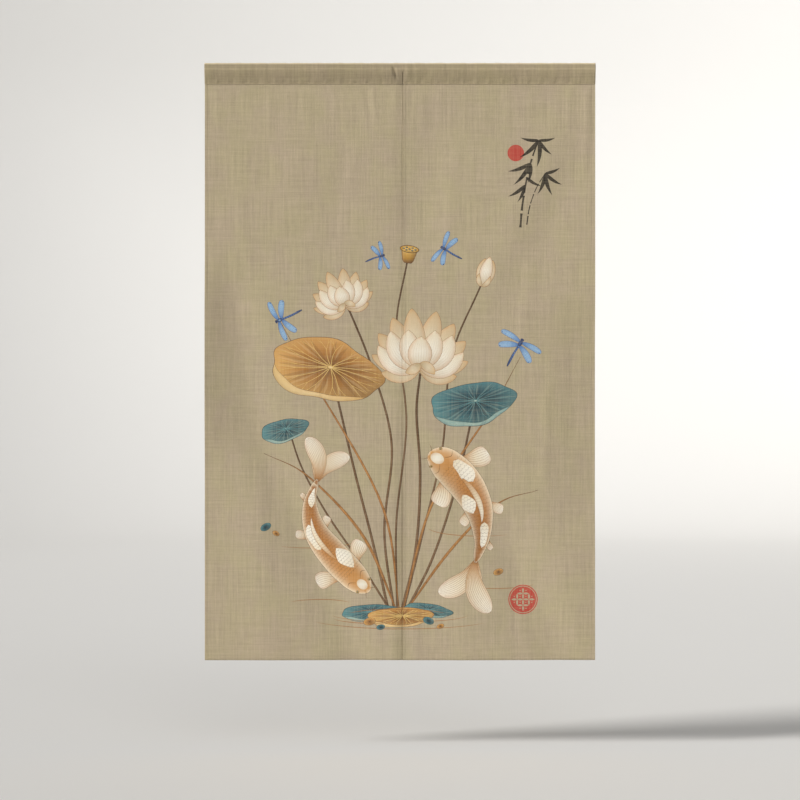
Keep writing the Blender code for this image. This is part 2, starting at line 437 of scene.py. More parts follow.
def curve(knots, count):
    """count points of the smooth curve through the knots: a Catmull-Rom cubic between each two."""
    knots = np.asarray(knots, float)
    padded = np.vstack((2 * knots[0] - knots[1], knots, 2 * knots[-1] - knots[-2]))
    where = np.linspace(0.0, len(knots) - 1 - 1e-9, count)
    piece = where.astype(int)
    t = (where - piece)[:, None]
    before, start, end, after = (padded[piece + k] for k in range(4))
    return 0.5 * (
        2 * start
        + (end - before) * t
        + (2 * before - 5 * start + 4 * end - after) * t**2
        + (3 * start - before - 3 * end + after) * t**3
    )


def normals_of(path):
    """Unit normals of a path, to its left."""
    step = np.gradient(path, axis=0)
    step /= np.linalg.norm(step, axis=1, keepdims=True) + 1e-12
    return np.stack((-step[:, 1], step[:, 0]), axis=1)


def length_of(path):
    """Length of a path along its points."""
    return float(np.linalg.norm(np.diff(path, axis=0), axis=1).sum())


def ribbon(path, left, right, tint):
    """A shape with a width at each point of its path, left and right of it."""
    left = np.broadcast_to(np.asarray(left, float), len(path)).copy()
    right = np.broadcast_to(np.asarray(right, float), len(path)).copy()
    normal = normals_of(path)
    outline = np.vstack((path + normal * left[:, None], (path - normal * right[:, None])[::-1]))
    steps = np.append(0.0, np.cumsum(np.linalg.norm(np.diff(path, axis=0), axis=1)))
    steps /= steps[-1]

    def place(points):
        """Along: of the nearest point of the path. Across: the distance from it over the width there."""
        gap = points[:, None, :] - path[None]
        nearest = np.argmin((gap**2).sum(axis=2), axis=1)
        off = ((points - path[nearest]) * normal[nearest]).sum(axis=1)
        width = np.where(off > 0, left[nearest], right[nearest])
        return steps[nearest], np.clip(off / np.maximum(width, 0.15), -1.0, 1.0)

    return Shape(outline, place, tint, length_of(path))


def disc(centre, radii, turn, tint, waves=(), count=40, middle=(0.0, 0.0), start=0.0, end=360.0):
    """A round shape, stretched and turned, its rim waved by a sum of sines (turns, size, phase).

    Along runs from its middle out to the rim, and across from its shaded to its lit side.
    """
    centre = np.asarray(centre, float)
    radii = np.asarray(radii, float)
    angle = np.radians(np.linspace(start, end, count, endpoint=end - start < 360.0))

    def reach(a):
        return np.ones_like(a) + sum(size * np.sin(turns * a + phase) for turns, size, phase in waves)

    flat = np.stack((np.cos(angle), np.sin(angle)), axis=1) * reach(angle)[:, None]
    outline = centre + turned(flat * radii, turn)

    def place(points):
        """Along: the distance from the middle over the rim's. Across: how far it faces the light."""
        local = turned(points - centre, -turn) / radii - np.asarray(middle)
        a = np.arctan2(local[:, 1], local[:, 0])
        along = np.clip(np.hypot(local[:, 0], local[:, 1]) / reach(a), 0.0, 1.0)
        return along, np.clip(local @ heading_to(125 - turn), -1.0, 1.0)

    return Shape(outline, place, tint, float(radii.max()))


def rimmed(path, left, right, tint, rim, rim_width):
    """A ribbon over a slightly wider one in the rim's colour, as an inked contour."""
    step = (path[1] - path[0]) / (np.linalg.norm(path[1] - path[0]) + 1e-9) * rim_width * 0.7
    last = (path[-1] - path[-2]) / (np.linalg.norm(path[-1] - path[-2]) + 1e-9) * rim_width * 0.9
    longer = np.vstack((path[0] - step, path[1:-1], path[-1] + last))
    under = ribbon(longer, np.asarray(left) + rim_width, np.asarray(right) + rim_width, plain(rim))
    return [under, ribbon(path, left, right, tint)]


def stroke(knots, start, middle, end, tint, count=12):
    """A brush stroke through the knots, its half width going from start over middle to end."""
    path = curve(knots, count)
    half = np.interp(np.linspace(0, 2, count), (0, 1, 2), (start, middle, end))
    return ribbon(path, half, half, tint)


def eased(count):
    """Steps from 0 to 1 that lie closer at both ends: half of 1 minus a cosine."""
    return 0.5 - 0.5 * np.cos(np.linspace(0.0, math.pi, count))


def blade_width(count, root, tip):
    """Half widths of a leaf or petal, 1 at the widest: s to the power root times 1 - s to the power tip."""
    s = eased(count)
    shape = s**root * (1.0 - s) ** tip
    return shape / shape.max()


def bent_path(start, end, bend, count):
    """From start to end, with its middle pushed sideways by bend times its length."""
    start, end = np.asarray(start, float), np.asarray(end, float)
    along = end - start
    side = np.array((-along[1], along[0]))
    s = eased(count)[:, None]
    return start + along * s + side * bend * 4.0 * s * (1.0 - s)


PETAL = Tint(PETAL_SHADE, CREAM, WARM_WHITE, PETAL_TIP, 0.55, 0.06)
PETAL_BACK = Tint(ink(176, 152, 112), ink(222, 206, 176), ink(206, 176, 132), PETAL_TIP, 0.5, 0.08)
PETAL_RIM = ink(128, 90, 58)
PETAL_VEIN = ink(206, 184, 150)


def petal(root, tip, width, bend, tint=PETAL, veins=6, count=16, root_power=0.62, tip_power=0.72):
    """A petal from root to tip with fine veins that follow its sides."""
    path = bent_path(root, tip, bend, count)
    half = width / 2 * blade_width(count, root_power, tip_power)
    shapes = rimmed(path, half, half, tint, PETAL_RIM, 0.55)
    normal = normals_of(path)
    for k in range(veins):
        across = -0.78 + 1.56 * k / max(veins - 1, 1)
        first, last = 2, count - 2 - abs(round(2.4 * across))
        vein = (path + normal * (half * across)[:, None])[first:last:2]
        thick = np.linspace(0.34, 0.10, len(vein))
        shapes.append(ribbon(vein, thick, thick, plain(PETAL_VEIN, 0.75)))
    return shapes


def lotus(centre, size, lean):
    """An open lotus seen from the side: upright petals behind, a seed cup, and cupped petals in front."""
    centre = np.asarray(centre, float)
    shapes = []

    def at(angle, length, width, bend, lift=0.0, tint=PETAL, veins=6):
        root = centre + heading_to(90 + lean, lift * size)
        tip = centre + heading_to(90 + lean + angle, length * size)
        return petal(root, tip, width * size, bend, tint, veins)

    for angle, length, width, bend, lift in (
        (-86, 1.00, 0.34, -0.12, -0.06),
        (86, 1.02, 0.34, 0.12, -0.06),
        (-108, 0.82, 0.34, -0.16, -0.06),
        (110, 0.84, 0.34, 0.16, -0.06),
        (-62, 1.04, 0.42, -0.10, 0.0),
        (60, 1.05, 0.42, 0.10, 0.0),
        (-38, 1.06, 0.42, -0.07, 0.0),
        (36, 1.08, 0.42, 0.07, 0.0),
        (-14, 1.10, 0.44, -0.03, 0.0),
        (13, 1.12, 0.44, 0.03, 0.0),
    ):
        shapes += at(angle, length, width, bend, lift, PETAL_BACK)
    shapes += seed_cup(centre + heading_to(90 + lean, 0.16 * size), 0.30 * size, lean)
    for angle, length, width, bend in (
        (-74, 0.92, 0.40, -0.20),
        (73, 0.94, 0.40, 0.20),
        (-47, 0.86, 0.46, -0.16),
        (48, 0.88, 0.46, 0.16),
        (-22, 0.72, 0.46, -0.10),
        (24, 0.70, 0.46, 0.10),
    ):
        shapes += at(angle, length, width, bend, -0.10, PETAL, 8)
    shapes += at(1, 0.52, 0.50, 0.02, -0.15, PETAL, 8)
    for angle, length in ((-128, 0.40), (130, 0.38)):
        shapes += at(angle, length, 0.20, 0.1, -0.04, PETAL_BACK, 4)
    return shapes


def seed_cup(base, size, lean, stamens=15):
    """A seed cup widening upwards, with seeds in its top and a ring of stamens round its foot."""
    base = np.asarray(base, float)
    up = heading_to(90 + lean)
    shapes = []
    for k in range(stamens):
        spread = -70 + 10 * k
        tip = base + heading_to(90 + lean + spread, size * (0.98 + 0.10 * math.sin(5.0 * k)))
        shapes.append(stroke((base, (base + tip) / 2 + up * 1.5, tip), 0.35, 0.4, 0.3, plain(GOLD), 6))
        shapes.append(disc(tip, (1.5, 0.9), 90 + lean + spread, plain(PALE_GOLD), count=8))
    path = bent_path(base - up * size * 0.1, base + up * size * 0.80, 0.0, 8)
    half = np.interp(np.linspace(0, 1, 8), (0, 0.3, 1), (size * 0.2, size * 0.36, size * 0.58))
    body = Tint(BROWN, GOLD, PALE_GOLD, BROWN, 0.7, 0.25)
    shapes += rimmed(path, half, half, body, DARK_BROWN, 0.5)
    top = path[-1]
    shapes.append(disc(top, (size * 0.63, size * 0.25), lean, plain(DARK_BROWN), count=24))
    face = Tint(GOLD, PALE_GOLD, GOLD, BROWN, 0.3, 0.2)
    shapes.append(disc(top, (size * 0.59, size * 0.21), lean, face, count=24))
    for x, z in (
        (-0.38, 0.0),
        (-0.19, 0.09),
        (-0.19, -0.08),
        (0.0, 0.0),
        (0.19, 0.09),
        (0.19, -0.08),
        (0.38, 0.0),
    ):
        seed = top + turned(np.array((x * size, z * size)), lean)
        shapes.append(disc(seed, (size * 0.075, size * 0.05), lean, plain(DARK_BROWN), count=9))
        glint = (size * 0.045, size * 0.028)
        shapes.append(disc(seed + (-0.2, 0.25), glint, lean, plain(TEAL_LIGHT), count=8))
    return shapes


def bud(base, size, lean):
    """A closed lotus bud: two side petals behind one full petal."""
    base = np.asarray(base, float)
    shapes = []
    for angle, width in ((14, 0.30), (-13, 0.30)):
        tip = base + heading_to(90 + lean + angle * 0.55, size * 0.92)
        shapes += petal(base, tip, width * size, 0.10 if angle > 0 else -0.10, PETAL_BACK, 4)
    shapes += petal(base, base + heading_to(90 + lean, size), 0.40 * size, 0.0, PETAL, 7)
    for angle, bend in ((26, 0.16), (-25, -0.16)):
        tip = base + heading_to(90 + lean + angle, size * 0.42)
        shapes += petal(base, tip, 0.15 * size, bend, PETAL_BACK, 3)
    return shapes


PAD_MIDDLE = np.array((0.08, 0.12))
PAD_VEINS = 18


def pad_veins(on_rim, broad, under, rim, vein):
    """Dark and pale washes over a lotus leaf, and forked veins that run to its rim."""
    shapes = []
    pitch = 360 // PAD_VEINS
    for k in range(PAD_VEINS):
        degrees = pitch * k + 10 + 5 * math.sin(3.7 * k + 1.8)
        wash = (on_rim(degrees, 0.10), on_rim(degrees + 1, 0.50), on_rim(degrees - 1, 0.93))
        shapes.append(stroke(wash, 0.2, broad, 0.3, plain(rim, 0.22), 12))
        pale = (on_rim(degrees + 5, 0.30), on_rim(degrees + 6, 0.62), on_rim(degrees + 5, 0.95))
        shapes.append(stroke(pale, 0.2, broad * 0.6, 0.3, plain(under.middle, 0.20), 12))
    for k in range(PAD_VEINS):
        degrees = pitch * k + 5 * math.sin(3.7 * k)
        fork = on_rim(degrees, 0.60)
        line = (on_rim(degrees, 0.06), on_rim(degrees + 3, 0.34), fork)
        shapes.append(stroke(line, 0.75, 0.55, 0.42, plain(vein), 8))
        for off in (-5.0, 5.5):
            branch = (fork, on_rim(degrees + off * 0.7, 0.80), on_rim(degrees + off, 0.965))
            shapes.append(stroke(branch, 0.42, 0.3, 0.12, plain(vein), 7))
            twig = (on_rim(degrees + off * 0.7, 0.80), on_rim(degrees + off * 1.5, 0.93))
            shapes.append(stroke(twig, 0.28, 0.2, 0.1, plain(vein), 4))
    return shapes


def pad_curl(on_rim, curl, under, rim, vein):
    """The stretch of a lotus leaf's rim that curls over and shows the leaf's paler under side."""
    sweep = np.linspace(*curl, 26)
    outer = np.array([on_rim(degrees, 1.0) for degrees in sweep])
    depth = np.sin(np.linspace(0, math.pi, 26)) ** 0.8
    roll = 0.17 * depth * (1 + 0.25 * np.sin(np.linspace(0, 9, 26)))
    inner = np.array([on_rim(degrees, 1.0 - r) for degrees, r in zip(sweep, roll, strict=True)])
    mid = (outer + inner) / 2
    half = np.linalg.norm(outer - inner, axis=1) / 2 + 0.05
    shapes = [ribbon(mid, half + 0.5, half + 0.5, plain(rim)), ribbon(mid, half, half, under)]
    for k in range(2, 24, 2):
        line = (outer[k], mid[k] + (outer[k] - mid[k]) * 0.1, inner[min(k + 1, 25)])
        shapes.append(stroke(line, 0.22, 0.2, 0.1, plain(vein, 0.8), 4))
    return shapes


def pad(centre, radii, turn, tints, waves, curl=(200, 330)):
    """A lotus leaf seen aslant: a waved disc with forked veins and part of its rim curled over.

    tints are its upper side's and its under side's, and the colours of its rim and veins.
    """
    upper, under, rim, vein = tints
    centre = np.asarray(centre, float)
    radii = np.asarray(radii, float)

    def on_rim(degrees, share):
        """A point this share of the way from the veins' middle to the rim."""
        a = math.radians(degrees)
        reach = 1.0 + sum(size * math.sin(turns * a + phase) for turns, size, phase in waves)
        flat = np.array((math.cos(a), math.sin(a))) * reach
        flat = PAD_MIDDLE + (flat - PAD_MIDDLE) * share
        return centre + turned(flat * radii, turn)

    shapes = [
        disc(centre, radii + 0.9, turn, plain(rim), waves, 72),
        disc(centre, radii, turn, upper, waves, 72, PAD_MIDDLE),
    ]
    shapes += pad_veins(on_rim, radii.mean() * 0.055, under, rim, vein)
    shapes.append(disc(on_rim(0, 0.0), radii * 0.055, turn, plain(vein), count=14))
    shapes.append(disc(on_rim(0, 0.0), radii * 0.03, turn, plain(under.middle), count=10))
    return shapes + pad_curl(on_rim, curl, under, rim, vein)


def stem(knots, start, end, count=40):
    """A round stem, lit on one side, with small prickles."""
    tint = Tint(STEM, STEM, STEM_SHADE, STEM_SHADE, 0.6, 0.35)
    path = curve(knots, count)
    half = np.linspace(start, end, count)
    shapes = rimmed(path, half, half, tint, DARK_BROWN, 0.45)
    normal = normals_of(path)
    for k in range(3, count - 2, 3):
        side = 1 if k % 2 else -1
        root = path[k] + normal[k] * half[k] * side * 0.9
        tip = root + normal[k] * side * 1.3
        shapes.append(stroke((root, tip), 0.4, 0.25, 0.1, plain(DARK_BROWN), 3))
        spot = path[k + 1] + normal[k + 1] * half[k + 1] * 0.25
        shapes.append(disc(spot, (0.5, 0.35), 40.0, plain(STEM_SHADE), count=6))
    return shapes


def fin(root, bearing, length, width, bend, rays, tint, root_power=0.95, tip_power=0.30):
    """A fin: a blade that widens from its root, with rays that follow its sides and a frayed edge."""
    root = np.asarray(root, float)
    count = 22
    path = bent_path(root, root + heading_to(bearing, length), bend, count)
    half = width / 2 * blade_width(count, root_power, tip_power)
    shapes = rimmed(path, half, half, tint, BROWN, 0.5)
    normal = normals_of(path)
    for k in range(rays):
        across = -0.86 + 1.72 * k / (rays - 1)
        last = count - 2 - round(1.5 * across * across)
        ray = (path + normal * (half * across)[:, None])[1:last:2]
        thick = np.linspace(0.52, 0.22, len(ray))
        shapes.append(ribbon(ray, thick, thick, plain(GOLDEN_BROWN, 0.8)))
    return shapes


Body = namedtuple("Body", "path normal half bearing width")
VEIL = Tint(TAN, WARM_WHITE, CREAM, TAN, 0.45, 0.05)
DORSAL_START, DORSAL_END = 0.36, 0.70


def beside(body, share, side, out=0.92):
    """A place beside a carp's middle line, share of the way to its tail, and the line's bearing there."""
    k = round(share * (len(body.path) - 1))
    return body.path[k] + body.normal[k] * body.half[k] * side * out, body.bearing[k]


def carp_fins(body):
    """Four lobes of the tail, two pairs of fins and a single one near the tail."""
    shapes = []
    width = body.width
    tail, way = body.path[-1], body.bearing[-1]
    for angle, reach, wide, bend in (
        (-14, 0.96, 0.40, 0.05),
        (15, 1.00, 0.40, -0.05),
        (-33, 1.44, 0.56, 0.17),
        (30, 1.56, 0.58, -0.17),
    ):
        root = tail - heading_to(way, 12)
        shapes += fin(root, way + angle, width * reach, width * wide, bend, 10, VEIL, 1.05, 0.52)
    for share, side, angle, reach, wide in (
        (0.25, 1, 52, 0.82, 0.56),
        (0.25, -1, 56, 0.76, 0.54),
        (0.57, 1, 36, 0.50, 0.30),
        (0.57, -1, 38, 0.46, 0.28),
        (0.80, 1, 24, 0.32, 0.17),
    ):
        root, way = beside(body, share, side, 0.78)
        shapes += fin(root, way + angle * side, width * reach, width * wide, -0.10 * side, 8, VEIL)
    return shapes


def carp_patches(body, patches):
    """Pale patches, each from a first to a last share of the body, at a place across, with a reach."""
    shapes = []
    pale = Tint(WARM_WHITE, CREAM, CREAM, WARM_WHITE, 0.4, 0.06)
    for start, end, across, breadth in patches:
        first, last = (round(share * (len(body.path) - 1)) for share in (start, end))
        cells = slice(first, last + 1)
        count = last - first + 1
        swell = np.sin(np.linspace(0, math.pi, count)) ** 0.5
        wave = 1 + 0.18 * np.sin(np.linspace(0, 7, count) + across * 5)
        middle = body.path[cells] + body.normal[cells] * (body.half[cells] * across)[:, None]
        reach = body.half[cells] * breadth * swell * wave + 0.05
        shapes.append(ribbon(middle, reach, reach, pale))
    return shapes


def carp_scales(body):
    """Rows of scales, set like bricks: each the far half of a circle, paler towards the sides."""
    shapes = []
    pitch = body.width * 0.098
    rows = int(length_of(body.path) * 0.66 / (pitch * 0.86))
    for row in range(rows):
        share = 0.235 + 0.66 * row / rows
        k = share * (len(body.path) - 1)
        low, part = int(k), k - int(k)
        here = body.path[low] * (1 - part) + body.path[low + 1] * part
        side = body.normal[low] * (1 - part) + body.normal[low + 1] * part
        reach = body.half[low] * (1 - part) + body.half[low + 1] * part
        back = heading_to(body.bearing[low])
        across = 2 * int(reach / pitch) + 2
        for j in range(across):
            offset = (j - (across - 1) / 2 + 0.5 * (row % 2) - 0.25) * pitch
            if abs(offset) > reach * 0.90:
                continue
            middle = here + side * offset
            size = pitch * 0.60
            arc = [
                middle + side * size * math.cos(a) + back * size * math.sin(a) * 0.95
                for a in np.linspace(0.12, math.pi - 0.12, 7)
            ]
            dark = 0.75 - 0.35 * abs(offset) / reach
            shapes.append(stroke(arc, 0.16, 0.38, 0.16, plain(BROWN, dark), 7))
    return shapes


def carp_back_fin(body):
    """The fin along the back, leaning to one side, with its rays."""
    first, last = (round(share * len(body.path)) for share in (DORSAL_START, DORSAL_END))
    ridge = body.path[first:last]
    leaning = body.normal[first:last]
    rise = np.sin(np.linspace(0.15, math.pi, len(ridge))) ** 0.7
    high = body.width * 0.15 * rise + 0.3
    middle = ridge + leaning * (high * 0.5)[:, None]
    shapes = rimmed(middle, high * 0.5, high * 0.5, VEIL, BROWN, 0.45)
    for k in range(1, len(ridge) - 1):
        tip = ridge[k] + leaning[k] * high[k] * 0.95 + heading_to(body.bearing[first + k], 2.0)
        shapes.append(stroke((ridge[k], tip), 0.3, 0.22, 0.12, plain(GOLDEN_BROWN, 0.85), 4))
    return shapes


def carp_head(body):
    """A pale crown, and on both sides a gill, an eye of four discs, a barbel and a nostril."""
    crown = beside(body, 0.10, 0, 0)[0]
    pale_crown = Tint(CREAM, CREAM, WARM_WHITE, TAN, 0.5, 0.0)
    size = (body.width * 0.20, body.width * 0.15)
    shapes = [disc(crown, size, body.bearing[5], pale_crown, count=20)]
    for side in (1, -1):
        gill = [
            beside(body, share, side * out, 1.0)[0]
            for share, out in ((0.16, 0.25), (0.205, 0.6), (0.185, 0.93))
        ]
        shapes.append(stroke(gill, 0.25, 0.6, 0.2, plain(BROWN), 9))
        eye = beside(body, 0.085, side, 0.86)[0]
        shapes.append(disc(eye, (3.6, 3.2), 0, plain(DARK_BROWN), count=16))
        shapes.append(disc(eye, (2.9, 2.5), 0, plain(PALE_GOLD), count=14))
        shapes.append(disc(eye, (1.8, 1.8), 0, plain(BLACK_INK), count=12))
        shapes.append(disc(eye + (-0.5, 0.6), (0.55, 0.55), 0, plain(CREAM), count=8))
        lip, way = beside(body, 0.015, side, 0.7)
        tip = lip + heading_to(way + 180 - 38 * side, body.width * 0.20)
        bend = (lip + tip) / 2 + body.normal[0] * side * 1.4
        shapes.append(stroke((lip, bend, tip), 0.5, 0.35, 0.12, plain(BROWN), 7))
        nostril = beside(body, 0.04, side, 0.45)[0]
        shapes.append(disc(nostril, (0.7, 0.5), 0, plain(DARK_BROWN), count=6))
    return shapes


def carp(knots, width, patches, count=56):
    """A carp from above: fins, a tapering body with pale patches and rows of scales, head and eyes."""
    path = curve(knots, count)
    step = np.gradient(path, axis=0)
    bearing = np.degrees(np.arctan2(step[:, 1], step[:, 0]))
    half = width / 2 * np.interp(
        np.linspace(0, 1, count),
        (0, 0.02, 0.06, 0.12, 0.20, 0.32, 0.45, 0.60, 0.75, 0.88, 0.95, 0.98, 1.0),
        (0.10, 0.34, 0.56, 0.76, 0.92, 1.0, 0.95, 0.78, 0.53, 0.31, 0.22, 0.14, 0.03),
    )
    body = Body(path, normals_of(path), half, bearing, width)
    skin = Tint(ink(206, 150, 86), ink(178, 116, 54), ink(150, 96, 46), WARM_WHITE, 0.85, 0.10)
    shapes = carp_fins(body)
    shapes += rimmed(path, half, half, skin, DARK_BROWN, 0.6)
    shapes += carp_patches(body, patches)
    return shapes + carp_scales(body) + carp_back_fin(body) + carp_head(body)


def wings(centre, bearing, size, spread):
    """A dragonfly's two pairs of wings, with veins along them, ribs across and a dark spot."""
    shapes = []
    front = heading_to(bearing)
    wing = Tint(BLUE, BLUE_LIGHT, BLUE_LIGHT, BLUE, 0.45, 0.05)
    pairs = ((0.02, 82 + spread, 0.62, 0.145), (-0.07, 112 + spread, 0.56, 0.17))
    for side in (1, -1):
        for off, angle, length, width in pairs:
            root = centre + front * off * size
            tip = root + heading_to(bearing + side * angle, length * size)
            path = bent_path(root, tip, -0.05 * side, 14)
            half = width * size / 2 * blade_width(14, 0.55, 0.30)
            shapes += rimmed(path, half, half, wing, BLUE_DARK, 0.5)
            normal = normals_of(path)
            for across in (-0.6, -0.2, 0.25, 0.65):
                line = path[1:-1] + normal[1:-1] * (half[1:-1] * across)[:, None]
                shapes.append(ribbon(line, 0.2, 0.2, plain(BLUE)))
            for k in range(3, 12, 2):
                rib = (path[k] + normal[k] * half[k] * 0.8, path[k] - normal[k] * half[k] * 0.8)
                shapes.append(stroke(rib, 0.12, 0.15, 0.12, plain(BLUE), 3))
            spot = path[11] + normal[11] * half[11] * 0.5 * side
            shapes.append(disc(spot, (1.7, 0.8), bearing + side * angle, plain(BLUE_DARK), count=9))
    return shapes


def dragonfly(centre, bearing, size, spread=0.0):
    """A dragonfly from above: four long veined wings, a jointed tail, thorax, head and eyes."""
    centre = np.asarray(centre, float)
    front = heading_to(bearing)
    shapes = wings(centre, bearing, size, spread)
    sway = turned(front, 90) * 1.2
    waist, bent, end = (centre - front * share * size for share in (0.06, 0.36, 0.72))
    tail = curve((waist, bent + sway, end), 18)
    half = np.interp(np.linspace(0, 1, 18), (0, 0.12, 0.85, 1), (0.034, 0.024, 0.028, 0.012)) * size
    shapes += rimmed(tail, half, half, Tint(BLUE, BLUE, BLUE_DARK, BLUE_DARK, 0.5, 0.3), BLUE_DARK, 0.4)
    for k in range(2, 17, 2):
        ring = (half[k] * 0.95, half[k] * 0.5)
        shapes.append(disc(tail[k], ring, bearing + 90, plain(BLUE_DARK), count=8))
    shapes.append(disc(centre, (0.088 * size, 0.056 * size), bearing, plain(BLUE_DARK), count=18))
    lit_blue = Tint(BLUE_LIGHT, BLUE, BLUE_DARK, BLUE_DARK, 0.4, 0.3)
    shapes.append(disc(centre, (0.074 * size, 0.042 * size), bearing, lit_blue, count=16))
    head = centre + front * 0.105 * size
    shapes.append(disc(head, (0.036 * size, 0.052 * size), bearing, plain(BLUE_DARK), count=14))
    lit_teal = Tint(TEAL_LIGHT, BLUE, BLUE_DARK, BLUE_DARK, 0.3, 0.3)
    for side in (1, -1):
        eye = head + turned(front, 90) * side * 0.031 * size
        shapes.append(disc(eye, (0.026 * size, 0.022 * size), bearing, lit_teal, count=12))
    return shapes


def bamboo(foot):
    """A sprig of ink bamboo: two jointed culms and clusters of hanging leaves."""
    foot = np.asarray(foot, float)
    black = plain(BLACK_INK, 0.97)
    shapes = []
    for knots, half in (
        (((0, 0), (4, 46), (12, 96), (24, 146), (40, 192)), 2.3),
        (((14, 6), (20, 44), (34, 84), (54, 118)), 1.3),
    ):
        path = curve(np.asarray(knots, float) + foot, 31)
        for first in range(0, 30, 6):
            joint = path[first : first + 6]
            wide = half * (1 - 0.012 * first) * np.array((1.25, 1.0, 0.94, 0.94, 1.0, 1.25))
            shapes.append(ribbon(joint, wide, wide, black))
    for x, z, angle, length, width in (
        (22, 140, 200, 52, 8.5),
        (22, 140, 232, 60, 9.0),
        (22, 140, 262, 44, 7.5),
        (40, 190, 172, 40, 7.0),
        (40, 190, 222, 56, 9.0),
        (40, 190, 266, 58, 9.0),
        (40, 190, 312, 42, 7.5),
        (40, 190, 8, 36, 6.5),
        (10, 92, 214, 44, 7.5),
        (10, 92, 246, 40, 7.0),
        (54, 118, 250, 48, 8.0),
        (54, 118, 288, 50, 8.5),
        (54, 118, 326, 44, 7.5),
        (54, 118, 20, 34, 6.5),
        (14, 108, 330, 36, 6.5),
    ):
        root = foot + (x, z)
        tip = root + heading_to(angle, length)
        bend = 0.07 if 90 < angle < 270 else -0.07
        path = bent_path(root, tip, bend, 14)
        half = width / 2 * blade_width(14, 0.55, 1.05) + 0.12
        shapes.append(ribbon(path, half, half, black))
    return shapes


def medallion(centre, radius):
    """A round red ornament of interlocking circles: the lens shapes between them are left bare."""
    centre = np.asarray(centre, float)
    bare = plain(RED, 0.0)
    shapes = [
        disc(centre, (radius, radius), 0, plain(RED, 0.93), count=64),
        disc(centre, (radius * 0.93, radius * 0.93), 0, bare, count=60),
        disc(centre, (radius * 0.88, radius * 0.88), 0, plain(RED, 0.93), count=60),
    ]
    pitch = radius * 0.40
    for row in range(-3, 4):
        for column in range(-3, 4):
            corner = np.array((column, row)) * pitch
            for way in ((1, 0), (0, 1)):
                end = corner + np.asarray(way) * pitch
                if max(np.linalg.norm(corner), np.linalg.norm(end)) > radius * 0.86:
                    continue
                path = bent_path(centre + corner, centre + end, 0.0, 12)
                half = pitch * 0.18 * np.sin(math.pi * eased(12)) + 0.02
                shapes.append(ribbon(path, half, half, bare))
            middle = corner + pitch / 2
            if np.linalg.norm(middle) < radius * 0.80:
                shapes.append(disc(centre + middle, (pitch * 0.10, pitch * 0.10), 0, bare, count=12))
    return shapes


def reed(knots, half, tint=None):
    """A long thin grass blade."""
    tint = tint or Tint(GOLDEN_BROWN, TAN, GOLDEN_BROWN, BROWN, 0.6, 0.2)
    path = curve(knots, 26)
    width = half * blade_width(26, 0.25, 0.9) + 0.15
    return rimmed(path, width, width, tint, DARK_BROWN, 0.3)


def ripple(centre, radii, start, end, half=0.8):
    """A tapering arc of water."""
    angle = np.radians(np.linspace(start, end, 22))
    path = np.asarray(centre) + np.stack((radii[0] * np.cos(angle), radii[1] * np.sin(angle)), axis=1)
    width = half * np.sin(np.linspace(0.02, math.pi - 0.02, 22)) ** 0.8 + 0.08
    return [ribbon(path, width, width, plain(GOLDEN_BROWN, 0.8))]


def float_leaf(centre, size, turn, tint, rim):
    """A small round floating leaf with a notch and five veins."""
    centre = np.asarray(centre, float)
    shapes = [
        disc(centre, (size + 0.6, (size + 0.6) * 0.62), turn, plain(rim), count=26, start=14, end=346),
        disc(centre, (size, size * 0.62), turn, tint, count=26, start=18, end=342),
    ]
    for k in range(5):
        tip = centre + turned(heading_to(60 + 60 * k, size * 0.86) * (1, 0.62), turn)
        shapes.append(stroke((centre, tip), 0.35, 0.25, 0.1, plain(rim, 0.8), 4))
    return shapes


GOLDEN_PAD = (
    Tint(ink(112, 72, 34), ink(172, 118, 58), ink(206, 158, 92), ink(98, 62, 30), 0.35, 0.30),
    Tint(ink(222, 188, 128), ink(232, 204, 152), ink(214, 174, 112), ink(188, 140, 78), 0.4, 0.10),
    DARK_BROWN,
    PALE_GOLD,
)
TEAL_PAD = (
    Tint(TEAL_DARK, TEAL, TEAL_LIGHT, TEAL_DARK, 0.35, 0.30),
    Tint(ink(146, 176, 168), ink(168, 190, 176), ink(132, 166, 162), TEAL, 0.4, 0.10),
    TEAL_DARK,
    TEAL_LIGHT,
)


